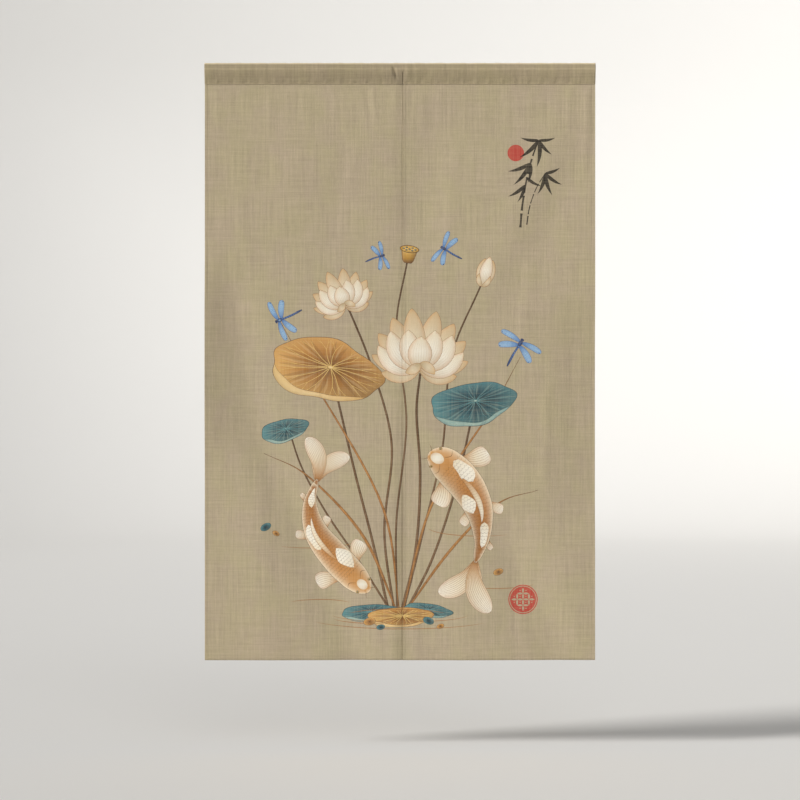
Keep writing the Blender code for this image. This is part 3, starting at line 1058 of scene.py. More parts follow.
def raised_plants():
    """Stems and grass, and what stands on the stems: three leaves, two flowers, a bud and a seed cup."""
    shapes = []
    for knots, half in (
        (((-24, -1196), (-60, -1040), (-96, -900), (-128, -764), (-150, -668)), 2.6),
        (((2, -1200), (34, -1060), (44, -900), (36, -760), (44, -676)), 2.9),
        (((-12, -1198), (-34, -1020), (-18, -830), (-62, -660), (-118, -520)), 2.4),
        (((12, -1196), (70, -1080), (120, -930), (150, -800), (158, -742)), 2.4),
        (((6, -1198), (48, -1030), (92, -840), (112, -640), (176, -484)), 2.0),
        (((-6, -1198), (-8, -1000), (14, -780), (-8, -580), (16, -430)), 1.9),
        (((-20, -1194), (-92, -1080), (-160, -980), (-214, -880), (-244, -790)), 1.9),
    ):
        shapes += stem(knots, half, half * 0.72)
    for knots, half in (
        (((-4, -1200), (-80, -1030), (-200, -900), (-296, -850)), 2.8),
        (((8, -1200), (110, -1060), (212, -960), (300, -930)), 2.6),
        (((0, -1200), (-40, -960), (-190, -690), (-262, -560)), 2.2),
        (((4, -1200), (70, -960), (196, -760), (262, -640)), 2.4),
    ):
        shapes += reed(knots, half)
    for centre, radii, turn, tints, waves, curl in (
        (
            (158, -742), (92, 46), 10, TEAL_PAD,
            ((3, 0.05, 0.6), (5, 0.035, 1.9), (8, 0.018, 0.3)),
            (196, 336),
        ),
        (
            (-162, -668), (122, 66), -12, GOLDEN_PAD,
            ((3, 0.05, 2.1), (5, 0.04, 0.4), (9, 0.016, 1.1)),
            (190, 322),
        ),
        (
            (-252, -800), (52, 24), 14, TEAL_PAD,
            ((3, 0.06, 1.0), (6, 0.03, 0.2)),
            (200, 330),
        ),
    ):
        shapes += pad(centre, radii, turn, tints, waves, curl)
    shapes += lotus((44, -650), 104, -4)
    shapes += lotus((-122, -520), 66, 16)
    shapes += bud((178, -486), 66, -16)
    return shapes + seed_cup((17, -432), 34, -8, 0)


def water():
    """The three large leaves on the water, with ripples and small floating leaves round them."""
    shapes = []
    for centre, radii, turn, tints, waves, curl in (
        ((-66, -1196), (62, 17), 4, TEAL_PAD, ((3, 0.05, 1.0), (6, 0.03, 0.2)), (200, 330)),
        ((58, -1192), (54, 15), -5, TEAL_PAD, ((3, 0.05, 2.0), (6, 0.03, 1.2)), (200, 330)),
        ((0, -1206), (70, 21), 2, GOLDEN_PAD, ((3, 0.05, 0.3), (5, 0.03, 0.9)), (196, 330)),
    ):
        shapes += pad(centre, radii, turn, tints, waves, curl)
    for centre, radii, start, end in (
        ((0, -1200), (150, 17), 190, 350),
        ((-6, -1200), (104, 11), 10, 170),
        ((4, -1206), (206, 26), 205, 330),
        ((-60, -1206), (90, 14), 200, 300),
        ((176, -1010), (116, 20), 188, 300),
        ((-196, -1040), (96, 16), 230, 352),
        ((210, -1132), (84, 12), 200, 345),
        ((-176, -1178), (70, 10), 20, 150),
    ):
        shapes += ripple(centre, radii, start, end)
    for centre, size, turn, tints in (
        ((-66, -1216), 13, 10, GOLDEN_PAD),
        ((-42, -1228), 9, 190, TEAL_PAD),
        ((62, -1214), 12, 160, TEAL_PAD),
        ((88, -1226), 8, 20, GOLDEN_PAD),
        ((214, -1108), 11, 200, GOLDEN_PAD),
        ((-292, -1010), 12, 30, TEAL_PAD),
        ((-270, -1024), 8, 150, GOLDEN_PAD),
    ):
        shapes += float_leaf(centre, size, turn, tints[0], tints[2])
    return shapes


def animals():
    """Two carp in the water and four dragonflies over it."""
    shapes = []
    for knots, width, patches in (
        (
            ((62, -850), (98, -872), (142, -916), (172, -972), (178, -1034), (164, -1088)),
            78,
            ((0.24, 0.42, 0.45, 0.42), (0.46, 0.62, -0.5, 0.40), (0.70, 0.88, 0.25, 0.5)),
        ),
        (
            ((-66, -1150), (-98, -1120), (-146, -1070), (-184, -1018), (-196, -958), (-180, -906)),
            66,
            ((0.26, 0.42, -0.45, 0.42), (0.48, 0.66, 0.45, 0.42), (0.76, 0.92, -0.2, 0.5)),
        ),
    ):
        shapes += carp(knots, width, patches)
    for centre, bearing, size, spread in (
        ((-262, -560), 205, 74, 4),
        ((96, -404), 150, 62, -4),
        ((262, -610), 60, 80, 6),
        ((-40, -420), 20, 52, 0),
    ):
        shapes += dragonfly(centre, bearing, size, spread)
    return shapes


def drawing():
    """The whole print, from the back to the front."""
    red_disc = disc((252, -196), (18, 18), 0, plain(RED, 0.92), count=40)
    ornaments = [red_disc, *bamboo((262, -358)), *medallion((268, -1168), 32)]
    return raised_plants() + water() + animals() + ornaments


# Painting the print onto the cloth

def winds_round(outline, points):
    """Whether the outline goes round each point: its upward less its downward crossings to the right."""
    start, end = outline, np.roll(outline, -1, axis=0)
    x, z = points[:, None, 0], points[:, None, 1]
    along = end - start
    side = along[:, 0] * (z - start[:, 1]) - (x - start[:, 0]) * along[:, 1]
    up = (start[:, 1] <= z) & (end[:, 1] > z) & (side > 0)
    down = (start[:, 1] > z) & (end[:, 1] <= z) & (side < 0)
    return up.sum(axis=1) != down.sum(axis=1)


def tinted(tint, along, across):
    """The tint's colour at places in a shape: start to middle to end, a rim, and a lit side."""
    first = np.clip(along * 2.0, 0.0, 1.0)[:, None]
    second = np.clip(along * 2.0 - 1.0, 0.0, 1.0)[:, None]
    colour = tint.start * (1.0 - first) + tint.middle * first
    colour = colour * (1.0 - second) + tint.end * second
    rim = (tint.edge_amount * np.abs(across) ** 3)[:, None]
    colour = colour * (1.0 - rim) + tint.edge * rim
    return colour * (1.0 + tint.side * across[:, None])


def finder(points):
    """A function that gives the indices of the points inside an outline."""
    order = np.argsort(points[:, 1])
    heights = points[order, 1]

    def inside(outline):
        low, high = outline.min(axis=0), outline.max(axis=0)
        near = order[np.searchsorted(heights, low[1]) : np.searchsorted(heights, high[1])]
        near = near[(points[near, 0] > low[0]) & (points[near, 0] < high[0])]
        return near[winds_round(outline, points[near])] if len(near) else near

    return inside


def painted(shapes, corners):
    """Ink colour and cover at the corners of each triangle, with the shapes laid on in order."""
    inside = finder(corners.mean(axis=1))
    colour = np.zeros((*corners.shape[:2], 3))
    cover = np.zeros(corners.shape[:2])
    for shape in shapes:
        hit = inside(shape.outline)
        if not len(hit):
            continue
        if shape.tint.cover <= 0.0:
            cover[hit] = 0.0
            continue
        new = tinted(shape.tint, *shape.place(corners[hit].reshape(-1, 2))).reshape(-1, 3, 3)
        kept = cover[hit] * (1.0 - shape.tint.cover)
        total = kept + shape.tint.cover
        colour[hit] = (new * shape.tint.cover + colour[hit] * kept[..., None]) / total[..., None]
        cover[hit] = total
    return np.concatenate((colour, cover[..., None]), axis=-1)


def seen_lines(shapes):
    """The outlines' points, and those edges between them that no later solid shape covers."""
    counts = [len(shape.outline) for shape in shapes]
    owner = np.repeat(np.arange(len(shapes)), counts)
    points = np.concatenate([shape.outline for shape in shapes])
    start = np.arange(len(points))
    end = np.concatenate([np.roll(start[owner == k], -1) for k in range(len(shapes))])
    inside = finder(points)
    covered = np.zeros(len(points), bool)
    for k, shape in enumerate(shapes):
        if 0.0 < shape.tint.cover < 1.0:
            continue
        under = np.zeros(len(points), bool)
        under[inside(shape.outline)] = True
        under &= owner < k
        covered |= under & under[end]
    return points, np.stack((start, end), axis=1)[~covered]


def joined_cells(panel, lines):
    """The panel's flat cloth in millimetres as points and triangles, cut along the print's outlines.

    A constrained Delaunay triangulation of the grid's points, the border, the hem's upright lines
    beside the slit and every outline.
    """
    columns, rows = (1000.0 * values for values in grid_lines(panel))
    u, z = np.meshgrid(columns, rows)
    grid = np.stack((u.ravel(), z.ravel()), axis=1)
    corner = (0, len(columns) - 1, len(columns) * len(rows) - 1, len(columns) * (len(rows) - 1))
    border = np.stack((corner, np.roll(corner, -1)), axis=1)
    hem = len(hem_lines(SIDE_HEM))
    index = np.arange(len(grid)).reshape(len(rows), len(columns))
    beside_slit = index[:, :hem] if panel == RIGHT else index[:, -hem:]
    upright = np.stack((beside_slit[:-1].ravel(), beside_slit[1:].ravel()), axis=1)

    points, edges = lines
    reach = points[edges, 0]
    edges = edges[(reach.max(axis=1) > columns[0]) & (reach.min(axis=1) < columns[-1])]
    used, edges = np.unique(edges, return_inverse=True)
    flat = [Vector(point) for point in np.concatenate((grid, points[used])).tolist()]
    edges = np.concatenate((border, upright, edges.reshape(-1, 2) + len(grid)))
    made = delaunay_2d_cdt(flat, edges.tolist(), [], 0, PRINT_JOIN, False)

    points, triangles = np.array(made[0]), np.array(made[2])
    middles = points[triangles].mean(axis=1)
    inside = (middles[:, 0] > columns[0]) & (middles[:, 0] < columns[-1])
    inside &= (middles[:, 1] > rows[-1]) & (middles[:, 1] < rows[0])
    used, triangles = np.unique(triangles[inside], return_inverse=True)
    return points[used], triangles.reshape(-1, 3)


# Closing a surface into a sheet of cloth

def facing(position, u, v, step=0.0004):
    """A surface's outward normals: the cross product of its slopes along u and v."""
    along_u = position(u + step, v) - position(u - step, v)
    along_v = position(u, v + step) - position(u, v - step)
    normal = np.cross(along_u, along_v)
    return normal / np.linalg.norm(normal, axis=-1, keepdims=True)


def unit(vectors):
    """The vectors at length 1."""
    return vectors / np.maximum(np.linalg.norm(vectors, axis=-1, keepdims=True), 1e-12)


def border_of(triangles, count):
    """Starts and ends of the border's edges: those that only one triangle has, in its own direction."""
    starts = triangles.ravel()
    ends = np.roll(triangles, -1, axis=1).ravel()
    key = np.minimum(starts, ends) * count + np.maximum(starts, ends)
    where, times = np.unique(key, return_index=True, return_counts=True)[1:]
    alone = where[times == 1]
    return starts[alone], ends[alone]


def summed(count, places, vectors):
    """For each of count points, the sum of the vectors at it."""
    total = np.zeros((count, vectors.shape[1]))
    for place in places:
        np.add.at(total, place, vectors)
    return total


def lay_out(mesh, faces, flat, rim_flat, triangle_count, border_count):
    """Lays the sheet's front and back side by side, each with its half of the rim, for the textures."""
    unrolled = np.concatenate((flat, flat, rim_flat))
    on_back = np.zeros(len(faces), bool)
    on_back[triangle_count : 2 * triangle_count] = True
    on_back[2 * triangle_count + 2 * border_count :] = True
    uv = unrolled[faces] - flat.min(axis=0)
    width = np.ptp(flat[:, 0])
    uv[..., 0] += ISLAND_GAP + on_back[:, None] * (width + ISLAND_GAP)
    uv[..., 1] += ISLAND_GAP
    full = max(2 * width + 3 * ISLAND_GAP, np.ptp(flat[:, 1]) + 2 * ISLAND_GAP)
    mesh.uv_layers.new(name="OFBake").uv.foreach_set("vector", (uv / full).ravel())


def closed_sheet(name, position, flat, triangles, thickness, ink_cover=None):
    """A sheet of cloth: its front, its back at a thickness behind, and a rounded rim between them.

    position(u, v) gives the front; flat holds each point's (u, v) in metres.
    """
    count = len(flat)
    front = position(flat[:, 0], flat[:, 1])
    normal = facing(position, flat[:, 0], flat[:, 1])
    back = front - normal * thickness[:, None]
    a, b = border_of(triangles, count)
    rim = np.unique(a)
    outward = unit(summed(count, (a, b), unit(np.cross(front[b] - front[a], normal[a])))[rim])
    middle = (front[rim] + back[rim]) / 2 + outward * thickness[rim, None] * RIM_OUT

    # The rim joins front and back by two bands of triangles, with a line of points between
    rim_index = np.zeros(count, int)
    rim_index[rim] = np.arange(len(rim)) + 2 * count
    ma, mb = rim_index[a], rim_index[b]
    faces = np.concatenate((
        triangles,
        triangles[:, ::-1] + count,
        np.stack((b, a, ma), axis=1),
        np.stack((b, ma, mb), axis=1),
        np.stack((mb, ma, a + count), axis=1),
        np.stack((mb, a + count, b + count), axis=1),
    ))
    points = np.concatenate((front, back, middle))
    normals = np.concatenate((normal, -normal, outward))
    # On the border, normals lean outwards so that the edge reads as rounded
    for part, sign in ((rim, 1.0), (rim + count, -1.0)):
        normals[part] = unit(sign * normal[rim] + RIM_LEAN * outward)

    mesh = bpy.data.meshes.new(name)
    mesh.from_pydata(points, [], faces)
    mesh.shade_smooth()
    mesh.normals_split_custom_set_from_vertices(normals)

    # Where each point lies on the flat cloth, for the weave, and where the cloth is double, for painted
    # shade
    side = np.repeat((0.0, 1.0, 0.5), (count, count, len(rim)))
    on_cloth = np.column_stack((np.concatenate((flat, flat, flat[rim])), side))
    place = mesh.attributes.new("flat_place", "FLOAT_VECTOR", "POINT")
    place.data.foreach_set("vector", on_cloth.ravel())
    layers = mesh.attributes.new("double_cloth", "FLOAT", "POINT")
    layers.data.foreach_set("value", np.concatenate((thickness, thickness, thickness[rim])) / LINEN - 1.0)

    turned_edge = unit(np.stack((flat[b, 1] - flat[a, 1], flat[a, 0] - flat[b, 0]), axis=1))
    reach = summed(count, (a, b), turned_edge)[rim] * thickness[rim, None] * RIM_LAID_OUT
    lay_out(mesh, faces, flat, flat[rim] + reach, len(triangles), len(a))

    if ink_cover is not None:
        # The print shows through faintly at the back, and runs out on the rim
        rims = np.zeros((4 * len(a), 3, 4))
        behind = ink_cover[:, ::-1] * (1.0, 1.0, 1.0, SHOW_THROUGH)
        ink_layer = mesh.color_attributes.new("ink", "FLOAT_COLOR", "CORNER")
        ink_layer.data.foreach_set("color", np.concatenate((ink_cover, behind, rims)).ravel())

    piece = bpy.data.objects.new(name, mesh)
    bpy.context.scene.collection.objects.link(piece)
    return piece


# The heading: a pocket for a rod, with its seam low down

def pocket_profile():
    """The pocket's outer line from its front lip over the crown to its back lip, as arc length, y and z.

    An arc of the pocket's radius, straight runs that touch it, and a short upright lip at each end.
    """
    centre = -POCKET_TOP_RADIUS
    tip = -HEADING_DROP + SEAM_LIP

    def touch(half):
        """Angle, from straight down, at which the straight run from the tip meets the arc."""
        reach = math.hypot(half, centre - tip)
        return math.acos(POCKET_TOP_RADIUS / reach) + math.atan2(half, centre - tip)

    angle = np.linspace(touch(FRONT_LIP_Y), 2 * math.pi - touch(BACK_LIP_Y), 90)
    arc = np.stack((-POCKET_TOP_RADIUS * np.sin(angle), centre - POCKET_TOP_RADIUS * np.cos(angle)), axis=1)
    front = ((-FRONT_LIP_Y, -HEADING_DROP), (-FRONT_LIP_Y, tip))
    back = ((BACK_LIP_Y, tip), (BACK_LIP_Y, -HEADING_DROP))
    line = np.concatenate((front, arc, back))
    steps = np.linalg.norm(np.diff(line, axis=0), axis=1)
    return np.append(0.0, np.cumsum(steps)), line[:, 0], line[:, 1]


PROFILE_S, PROFILE_Y, PROFILE_Z = pocket_profile()
POCKET_LENGTH = PROFILE_S[-1]


def bell(x, middle, half_width):
    """1 at the middle, and fading to both sides as e to the power of minus the distance squared."""
    return np.exp(-(((x - middle) / half_width) ** 2))


def heading_at(x, s):
    """The heading's outer surface at x across and s up the front, over the crown and down the back.

    The pocket's line, moved along its own normal by puckers, the crease, the slit's edges, waves,
    gathers and the stitches.
    """
    held = np.clip(s, 0.0, POCKET_LENGTH)
    y, z = np.interp(held, PROFILE_S, PROFILE_Y), np.interp(held, PROFILE_S, PROFILE_Z)
    low, high = held - SLOPE_STEP, held + SLOPE_STEP
    ahead = np.interp(high, PROFILE_S, PROFILE_Y) - np.interp(low, PROFILE_S, PROFILE_Y)
    rise = np.interp(high, PROFILE_S, PROFILE_Z) - np.interp(low, PROFILE_S, PROFILE_Z)
    length = np.hypot(ahead, rise)
    out_y, out_z = -rise / length, ahead / length

    down = -z / HEADING_DROP
    on_front = smooth_step(-y / FRONT_FADE)
    pressed = np.zeros_like(x)
    for pucker in PUCKERS:
        pressed += pucker.depth * bell(x, pucker.x + pucker.lean * down, pucker.half_width)
    out = -pressed * np.sin(math.pi * np.clip(down, 0.0, 1.0)) * on_front
    begun = smooth_step((-z - PINCH_START) / PINCH_START_FADE)
    lasting = smooth_step((PINCH_END + z) / PINCH_END_FADE)
    crease = bell(x, PINCH.x + PINCH.lean * down, PINCH.half_width)
    out -= PINCH.depth * crease * begun * lasting * on_front

    # The slit's edges roll in, and the back stands out over the layers that meet behind the slit
    rolled = smooth_step((-z - SLIT_TOP + SLIT_ROLL_ABOVE) / SLIT_ROLL_FADE)
    out -= SLIT_ROLL * bell(x, SLIT_X, SLIT_ROLL_WIDTH) * rolled * on_front
    bulged = smooth_step((-z - BACK_BULGE_FROM) / BACK_BULGE_FADE)
    out += BACK_BULGE * bell(x, SLIT_X - BACK_BULGE_LEFT, BACK_BULGE_WIDTH) * bulged * (y > 0.0)

    # Waves that grow over the pocket, and finer gathers that stand proud of the seam
    loose = np.sin(math.pi * held / POCKET_LENGTH)
    for turns, phase, size in POCKET_WAVES:
        out += size * loose * np.sin(math.tau * turns * x + phase + POCKET_DRIFT * held)
    from_seam = np.minimum(held, POCKET_LENGTH - held) - SEAM_UP
    gathered = bell(from_seam, 0.0, SEAM_GATHER) * (from_seam > -SEAM_UP)
    for turns, phase, size in SEAM_WAVES:
        out += size * gathered * (1.0 + np.sin(math.tau * turns * x + phase + SEAM_DRIFT * from_seam))
    out -= STITCH_SINK * bell(from_seam, 0.0, STITCH_SINK_WIDTH)
    return np.stack((x, y + out * out_y, z + out * out_z), axis=-1)


def heading_cells():
    """The heading's flat cloth as points and triangles, with the slit's slot left open."""
    slit = (SLIT_X - POCKET_SLIT_WIDTH / 2, SLIT_X + POCKET_SLIT_WIDTH / 2)
    near = np.array(SLIT_LINES)
    columns = np.concatenate((
        evenly(-HALF_WIDTH, slit[0] - near[-1], HEADING_STEP)[:-1],
        slit[0] - near[::-1],
        slit,
        slit[1] + near,
        evenly(slit[1] + near[-1], HALF_WIDTH, HEADING_STEP)[1:],
    ))
    lip = SEAM_UP + np.array((-SEAM_UP, *SEAM_LINES))
    slot_top = float(np.interp(-SLIT_TOP, PROFILE_Z[:10], PROFILE_S[:10]))
    rows = np.concatenate((
        lip,
        evenly(lip[-1], slot_top, HEADING_ROW_STEP)[1:],
        evenly(slot_top, POCKET_LENGTH - lip[-1], HEADING_ROW_STEP)[1:-1],
        (POCKET_LENGTH - lip)[::-1],
    ))
    x, s = np.meshgrid(columns, rows)
    index = np.arange(x.size).reshape(x.shape)
    a, b, c, d = index[:-1, :-1], index[:-1, 1:], index[1:, 1:], index[1:, :-1]
    quads = np.stack((a, b, c, d), axis=-1).reshape(-1, 4)
    flat = np.stack((x.ravel(), s.ravel()), axis=1)
    middle = flat[quads].mean(axis=1)
    in_slot = (middle[:, 0] > slit[0]) & (middle[:, 0] < slit[1]) & (middle[:, 1] < slot_top)
    quads = quads[~in_slot]
    return flat, np.concatenate((quads[:, (0, 1, 2)], quads[:, (0, 2, 3)]))


# Stitches

def stitches(name, centres, along, outward):
    """A row of stitches: each a small spindle of thread, two pointed ends and a ring of six between."""
    around = np.radians(np.arange(0, 360, 60))
    side = np.cross(outward, along)
    ring = (
        side[:, None] * np.cos(around)[:, None] * THREAD_WIDTH / 2
        + outward[:, None] * np.sin(around)[:, None] * THREAD_HEIGHT
    )
    ends = along[:, None] * np.array((-0.5, 0.5))[:, None] * STITCH_LENGTH - outward[:, None] * THREAD_HEIGHT
    points = centres[:, None] + np.concatenate((ring, ends), axis=1)
    k = np.arange(6)
    after = (k + 1) % 6
    low_end = np.stack((after, k, np.full(6, 6)), axis=1)
    high_end = np.stack((k, after, np.full(6, 7)), axis=1)
    faces = np.concatenate((low_end, high_end))[None] + 8 * np.arange(len(centres))[:, None, None]
    mesh = bpy.data.meshes.new(name)
    mesh.from_pydata(points.reshape(-1, 3), [], faces.reshape(-1, 3))
    mesh.shade_smooth()
    piece = bpy.data.objects.new(name, mesh)
    bpy.context.scene.collection.objects.link(piece)
    return piece


def stitch_row(position, start, end, sign=1.0, depth=0.0):
    """Centres, directions and outward normals of stitches along a line of a surface's flat places.

    sign is -1 for the cloth's other side, which is depth behind the surface.
    """
    start, end = np.asarray(start), np.asarray(end)
    count = int(np.linalg.norm(end - start) / STITCH_PITCH)
    share = (np.arange(count) + 0.5)[:, None] / count
    flat = start + (end - start) * share
    step = (end - start) / count * 0.3
    here = position(flat[:, 0], flat[:, 1])
    along = unit(position(*(flat + step).T) - position(*(flat - step).T))
    normal = facing(position, flat[:, 0], flat[:, 1])
    return here - normal * depth, along, normal * sign


def panel_stitches(panel):
    """Rows of stitches along the panel's side hems and its bottom hem, on both faces."""
    low, high = SIDES[panel]
    left = low + SIDE_HEM - STITCH_IN
    right = high - SIDE_HEM + STITCH_IN
    top = -HEADING_DROP - STITCH_BELOW_SEAM
    foot = BOTTOM_HEM - STITCH_IN - CURTAIN_DROP
    lines = (
        ((left, top), (left, foot)),
        ((right, top), (right, foot)),
        ((left, foot), (right, foot)),
    )

    def position(u, z):
        return front_of(panel, u, z)

    rows = []
    for start, end in lines:
        rows.append(stitch_row(position, start, end))
        rows.append(stitch_row(position, start, end, -1.0, 2 * LINEN))
    return stitches(panel + "_stitches", *(np.concatenate(part) for part in zip(*rows, strict=True)))


def heading_stitches():
    """Rows of stitches along the heading's seam, on both faces, broken at the slit in front."""
    left, right = STITCH_GAP - HALF_WIDTH, HALF_WIDTH - STITCH_GAP
    behind = POCKET_LENGTH - SEAM_UP
    lines = (
        ((left, SEAM_UP), (SLIT_X - STITCH_GAP, SEAM_UP)),
        ((SLIT_X + STITCH_GAP, SEAM_UP), (right, SEAM_UP)),
        ((left, behind), (right, behind)),
    )
    rows = [stitch_row(heading_at, start, end) for start, end in lines]
    return stitches("heading_stitches", *(np.concatenate(part) for part in zip(*rows, strict=True)))


# Materials

def node(tree, kind, inputs=None, **settings):
    """A new node with its settings, each input linked to a socket or set to a value."""
    made = tree.nodes.new(kind)
    for setting, value in settings.items():
        setattr(made, setting, value)
    for name, value in (inputs or {}).items():
        if isinstance(value, bpy.types.NodeSocket):
            tree.links.new(value, made.inputs[name])
        else:
            made.inputs[name].default_value = value
    return made


def math_of(tree, operation, *values):
    """A Math node's result."""
    return node(tree, "ShaderNodeMath", dict(enumerate(values)), operation=operation).outputs[0]


def ranged(tree, value, low, high, to_low=0.0, to_high=1.0):
    """The value carried from low..high to to_low..to_high, held at both ends."""
    inputs = {"Value": value, "From Min": low, "From Max": high, "To Min": to_low, "To Max": to_high}
    return node(tree, "ShaderNodeMapRange", inputs).outputs["Result"]


def blended(tree, factor, first, second, blend="MIX"):
    """Two colours mixed."""
    made = node(tree, "ShaderNodeMix", {"Factor": factor}, data_type="RGBA", blend_type=blend)
    for name, value in (("A_Color", first), ("B_Color", second)):
        socket = next(item for item in made.inputs if item.identifier == name)
        if isinstance(value, bpy.types.NodeSocket):
            tree.links.new(value, socket)
        else:
            socket.default_value = (*value, 1.0)
    return next(item for item in made.outputs if item.identifier == "Result_Color")


def drawn_out(tree, place, stretch, seed, detail=3.0, rough=0.55):
    """Noise stretched along the cloth: stretch gives its steps a metre across, up and from side to side."""
    scaled = node(tree, "ShaderNodeVectorMath", {0: place, 1: stretch, 2: (seed, seed * 0.37, seed * 1.7)},
                  operation="MULTIPLY_ADD").outputs[0]
    inputs = {"Vector": scaled, "Scale": 1.0, "Detail": detail, "Roughness": rough}
    return node(tree, "ShaderNodeTexNoise", inputs).outputs[0]


def woven(tree, parts, long_threads, short_threads):
    """The normals of a plain weave: crossing threads, each rounded, with the thicker ones standing proud.

    Its height is the size of the product of two sines, one across and one up the cloth, plus each
    noise times its threads' height.
    """
    waves = [
        math_of(tree, "SINE", math_of(tree, "MULTIPLY", parts[axis], math.tau / (2 * THREAD_PITCH)))
        for axis in (0, 1)
    ]
    weave = math_of(tree, "ABSOLUTE", math_of(tree, "MULTIPLY", *waves))
    relief = math_of(tree, "MULTIPLY", weave, WEAVE_RELIEF)
    for noises, height in ((long_threads, LONG_THREAD_RELIEF), (short_threads, SHORT_THREAD_RELIEF)):
        for noise in noises:
            relief = math_of(tree, "MULTIPLY_ADD", noise, height, relief)
    bump = node(tree, "ShaderNodeBump", {"Height": relief, "Strength": 0.8, "Distance": 1.0})
    return bump.outputs["Normal"]


def linen(name, tones, with_print=False, shade=None):
    """Slubby linen: mottled tones, threads drawn out both ways, and a plain weave in relief.

    tones are the cloth's two colours, a pinker and a greener one. Painted shade darkens the double cloth
    of the hems; with the print, painted shade darkens the slit's edges and a painted highlight lightens the
    outer right edge. shade(tree, cloth) may paint light and shade onto the cloth's colour by its place on
    the curtain.
    """
    made = bpy.data.materials.new(name)
    made.use_nodes = True
    tree = made.node_tree
    shader = tree.nodes["Principled BSDF"]
    place = node(tree, "ShaderNodeAttribute", attribute_name="flat_place").outputs["Vector"]

    patches = drawn_out(tree, place, (16.0, 11.0, 3.0), 1.3, 4.0, 0.6)
    mottled = blended(tree, ranged(tree, patches, 0.36, 0.64), *tones)
    up_threads = drawn_out(tree, place, (330.0, 9.0, 3.0), 4.1)
    cross_threads = drawn_out(tree, place, (10.0, 330.0, 3.0), 7.7)
    fine_up = drawn_out(tree, place, (900.0, 60.0, 3.0), 2.9, 2.0)
    fine_cross = drawn_out(tree, place, (60.0, 900.0, 3.0), 5.3, 2.0)
    slubs = drawn_out(tree, place, (42.0, 420.0, 3.0), 9.4, 1.0)
    factor = 1.0
    for noise, amount in (
        (up_threads, 0.45),
        (cross_threads, 0.34),
        (fine_up, 0.27),
        (fine_cross, 0.22),
        (patches, 0.16),
    ):
        change = math_of(tree, "MULTIPLY_ADD", noise, amount, -0.5 * amount)
        factor = math_of(tree, "ADD", factor, change)
    factor = math_of(tree, "ADD", factor, ranged(tree, slubs, 0.66, 0.80, 0.0, 0.10))
    # Painted shade: the double cloth of the hems is a little darker
    double = node(tree, "ShaderNodeAttribute", attribute_name="double_cloth").outputs["Fac"]
    factor = math_of(tree, "MULTIPLY", factor, math_of(tree, "MULTIPLY_ADD", double, -DOUBLE_CLOTH_PAINTED_SHADE, 1.0))
    parts = node(tree, "ShaderNodeSeparateXYZ", {0: place}).outputs
    if with_print:
        # The slit's edges lie in each other's shade
        slit_line = SIDES[RIGHT][0] + SLIT_WIDTH
        from_slit = math_of(tree, "ABSOLUTE", math_of(tree, "SUBTRACT", parts[0], slit_line))
        dusk = ranged(tree, from_slit, 0.0005, 0.0022, SLIT_PAINTED_SHADE, 0.0)
        factor = math_of(tree, "MULTIPLY", factor, math_of(tree, "SUBTRACT", 1.0, dusk))
        # The outer right edge catches the light
        from_edge = math_of(tree, "SUBTRACT", SIDES[RIGHT][1], parts[0])
        glow = ranged(tree, from_edge, 0.0026, 0.0052, 1.0 + EDGE_PAINTED_HIGHLIGHT, 1.0)
        factor = math_of(tree, "MULTIPLY", factor, glow)
    cloth = node(tree, "ShaderNodeVectorMath", {0: mottled, "Scale": factor}, operation="SCALE").outputs[0]

    if with_print:
        ink_node = node(tree, "ShaderNodeAttribute", attribute_name="ink")
        # The ink follows part of the cloth's weave and mottle, and of its painted shade and painted
        # highlight
        softened = math_of(tree, "MULTIPLY_ADD", factor, 0.55, 0.45)
        pigment = node(tree, "ShaderNodeVectorMath", {0: ink_node.outputs["Color"], "Scale": softened},
                       operation="SCALE").outputs[0]
        worn = ranged(tree, math_of(tree, "ADD", up_threads, cross_threads), 0.75, 1.30, 1.0, 0.80)
        cloth = blended(tree, math_of(tree, "MULTIPLY", ink_node.outputs["Alpha"], worn), cloth, pigment)
    if shade is not None:
        cloth = shade(tree, cloth)
    tree.links.new(cloth, shader.inputs["Base Color"])

    normal = woven(tree, parts, (up_threads, cross_threads), (fine_up, fine_cross))
    tree.links.new(normal, shader.inputs["Normal"])
    rough = ranged(tree, fine_up, 0.3, 0.7, 0.84, 0.96)
    tree.links.new(rough, shader.inputs["Roughness"])
    shader.inputs["Specular IOR Level"].default_value = 0.25
    shader.inputs["Sheen Weight"].default_value = 0.12
    shader.inputs["Sheen Roughness"].default_value = 0.6
    shader.inputs["Sheen Tint"].default_value = (1.0, 0.93, 0.82, 1.0)
    return made


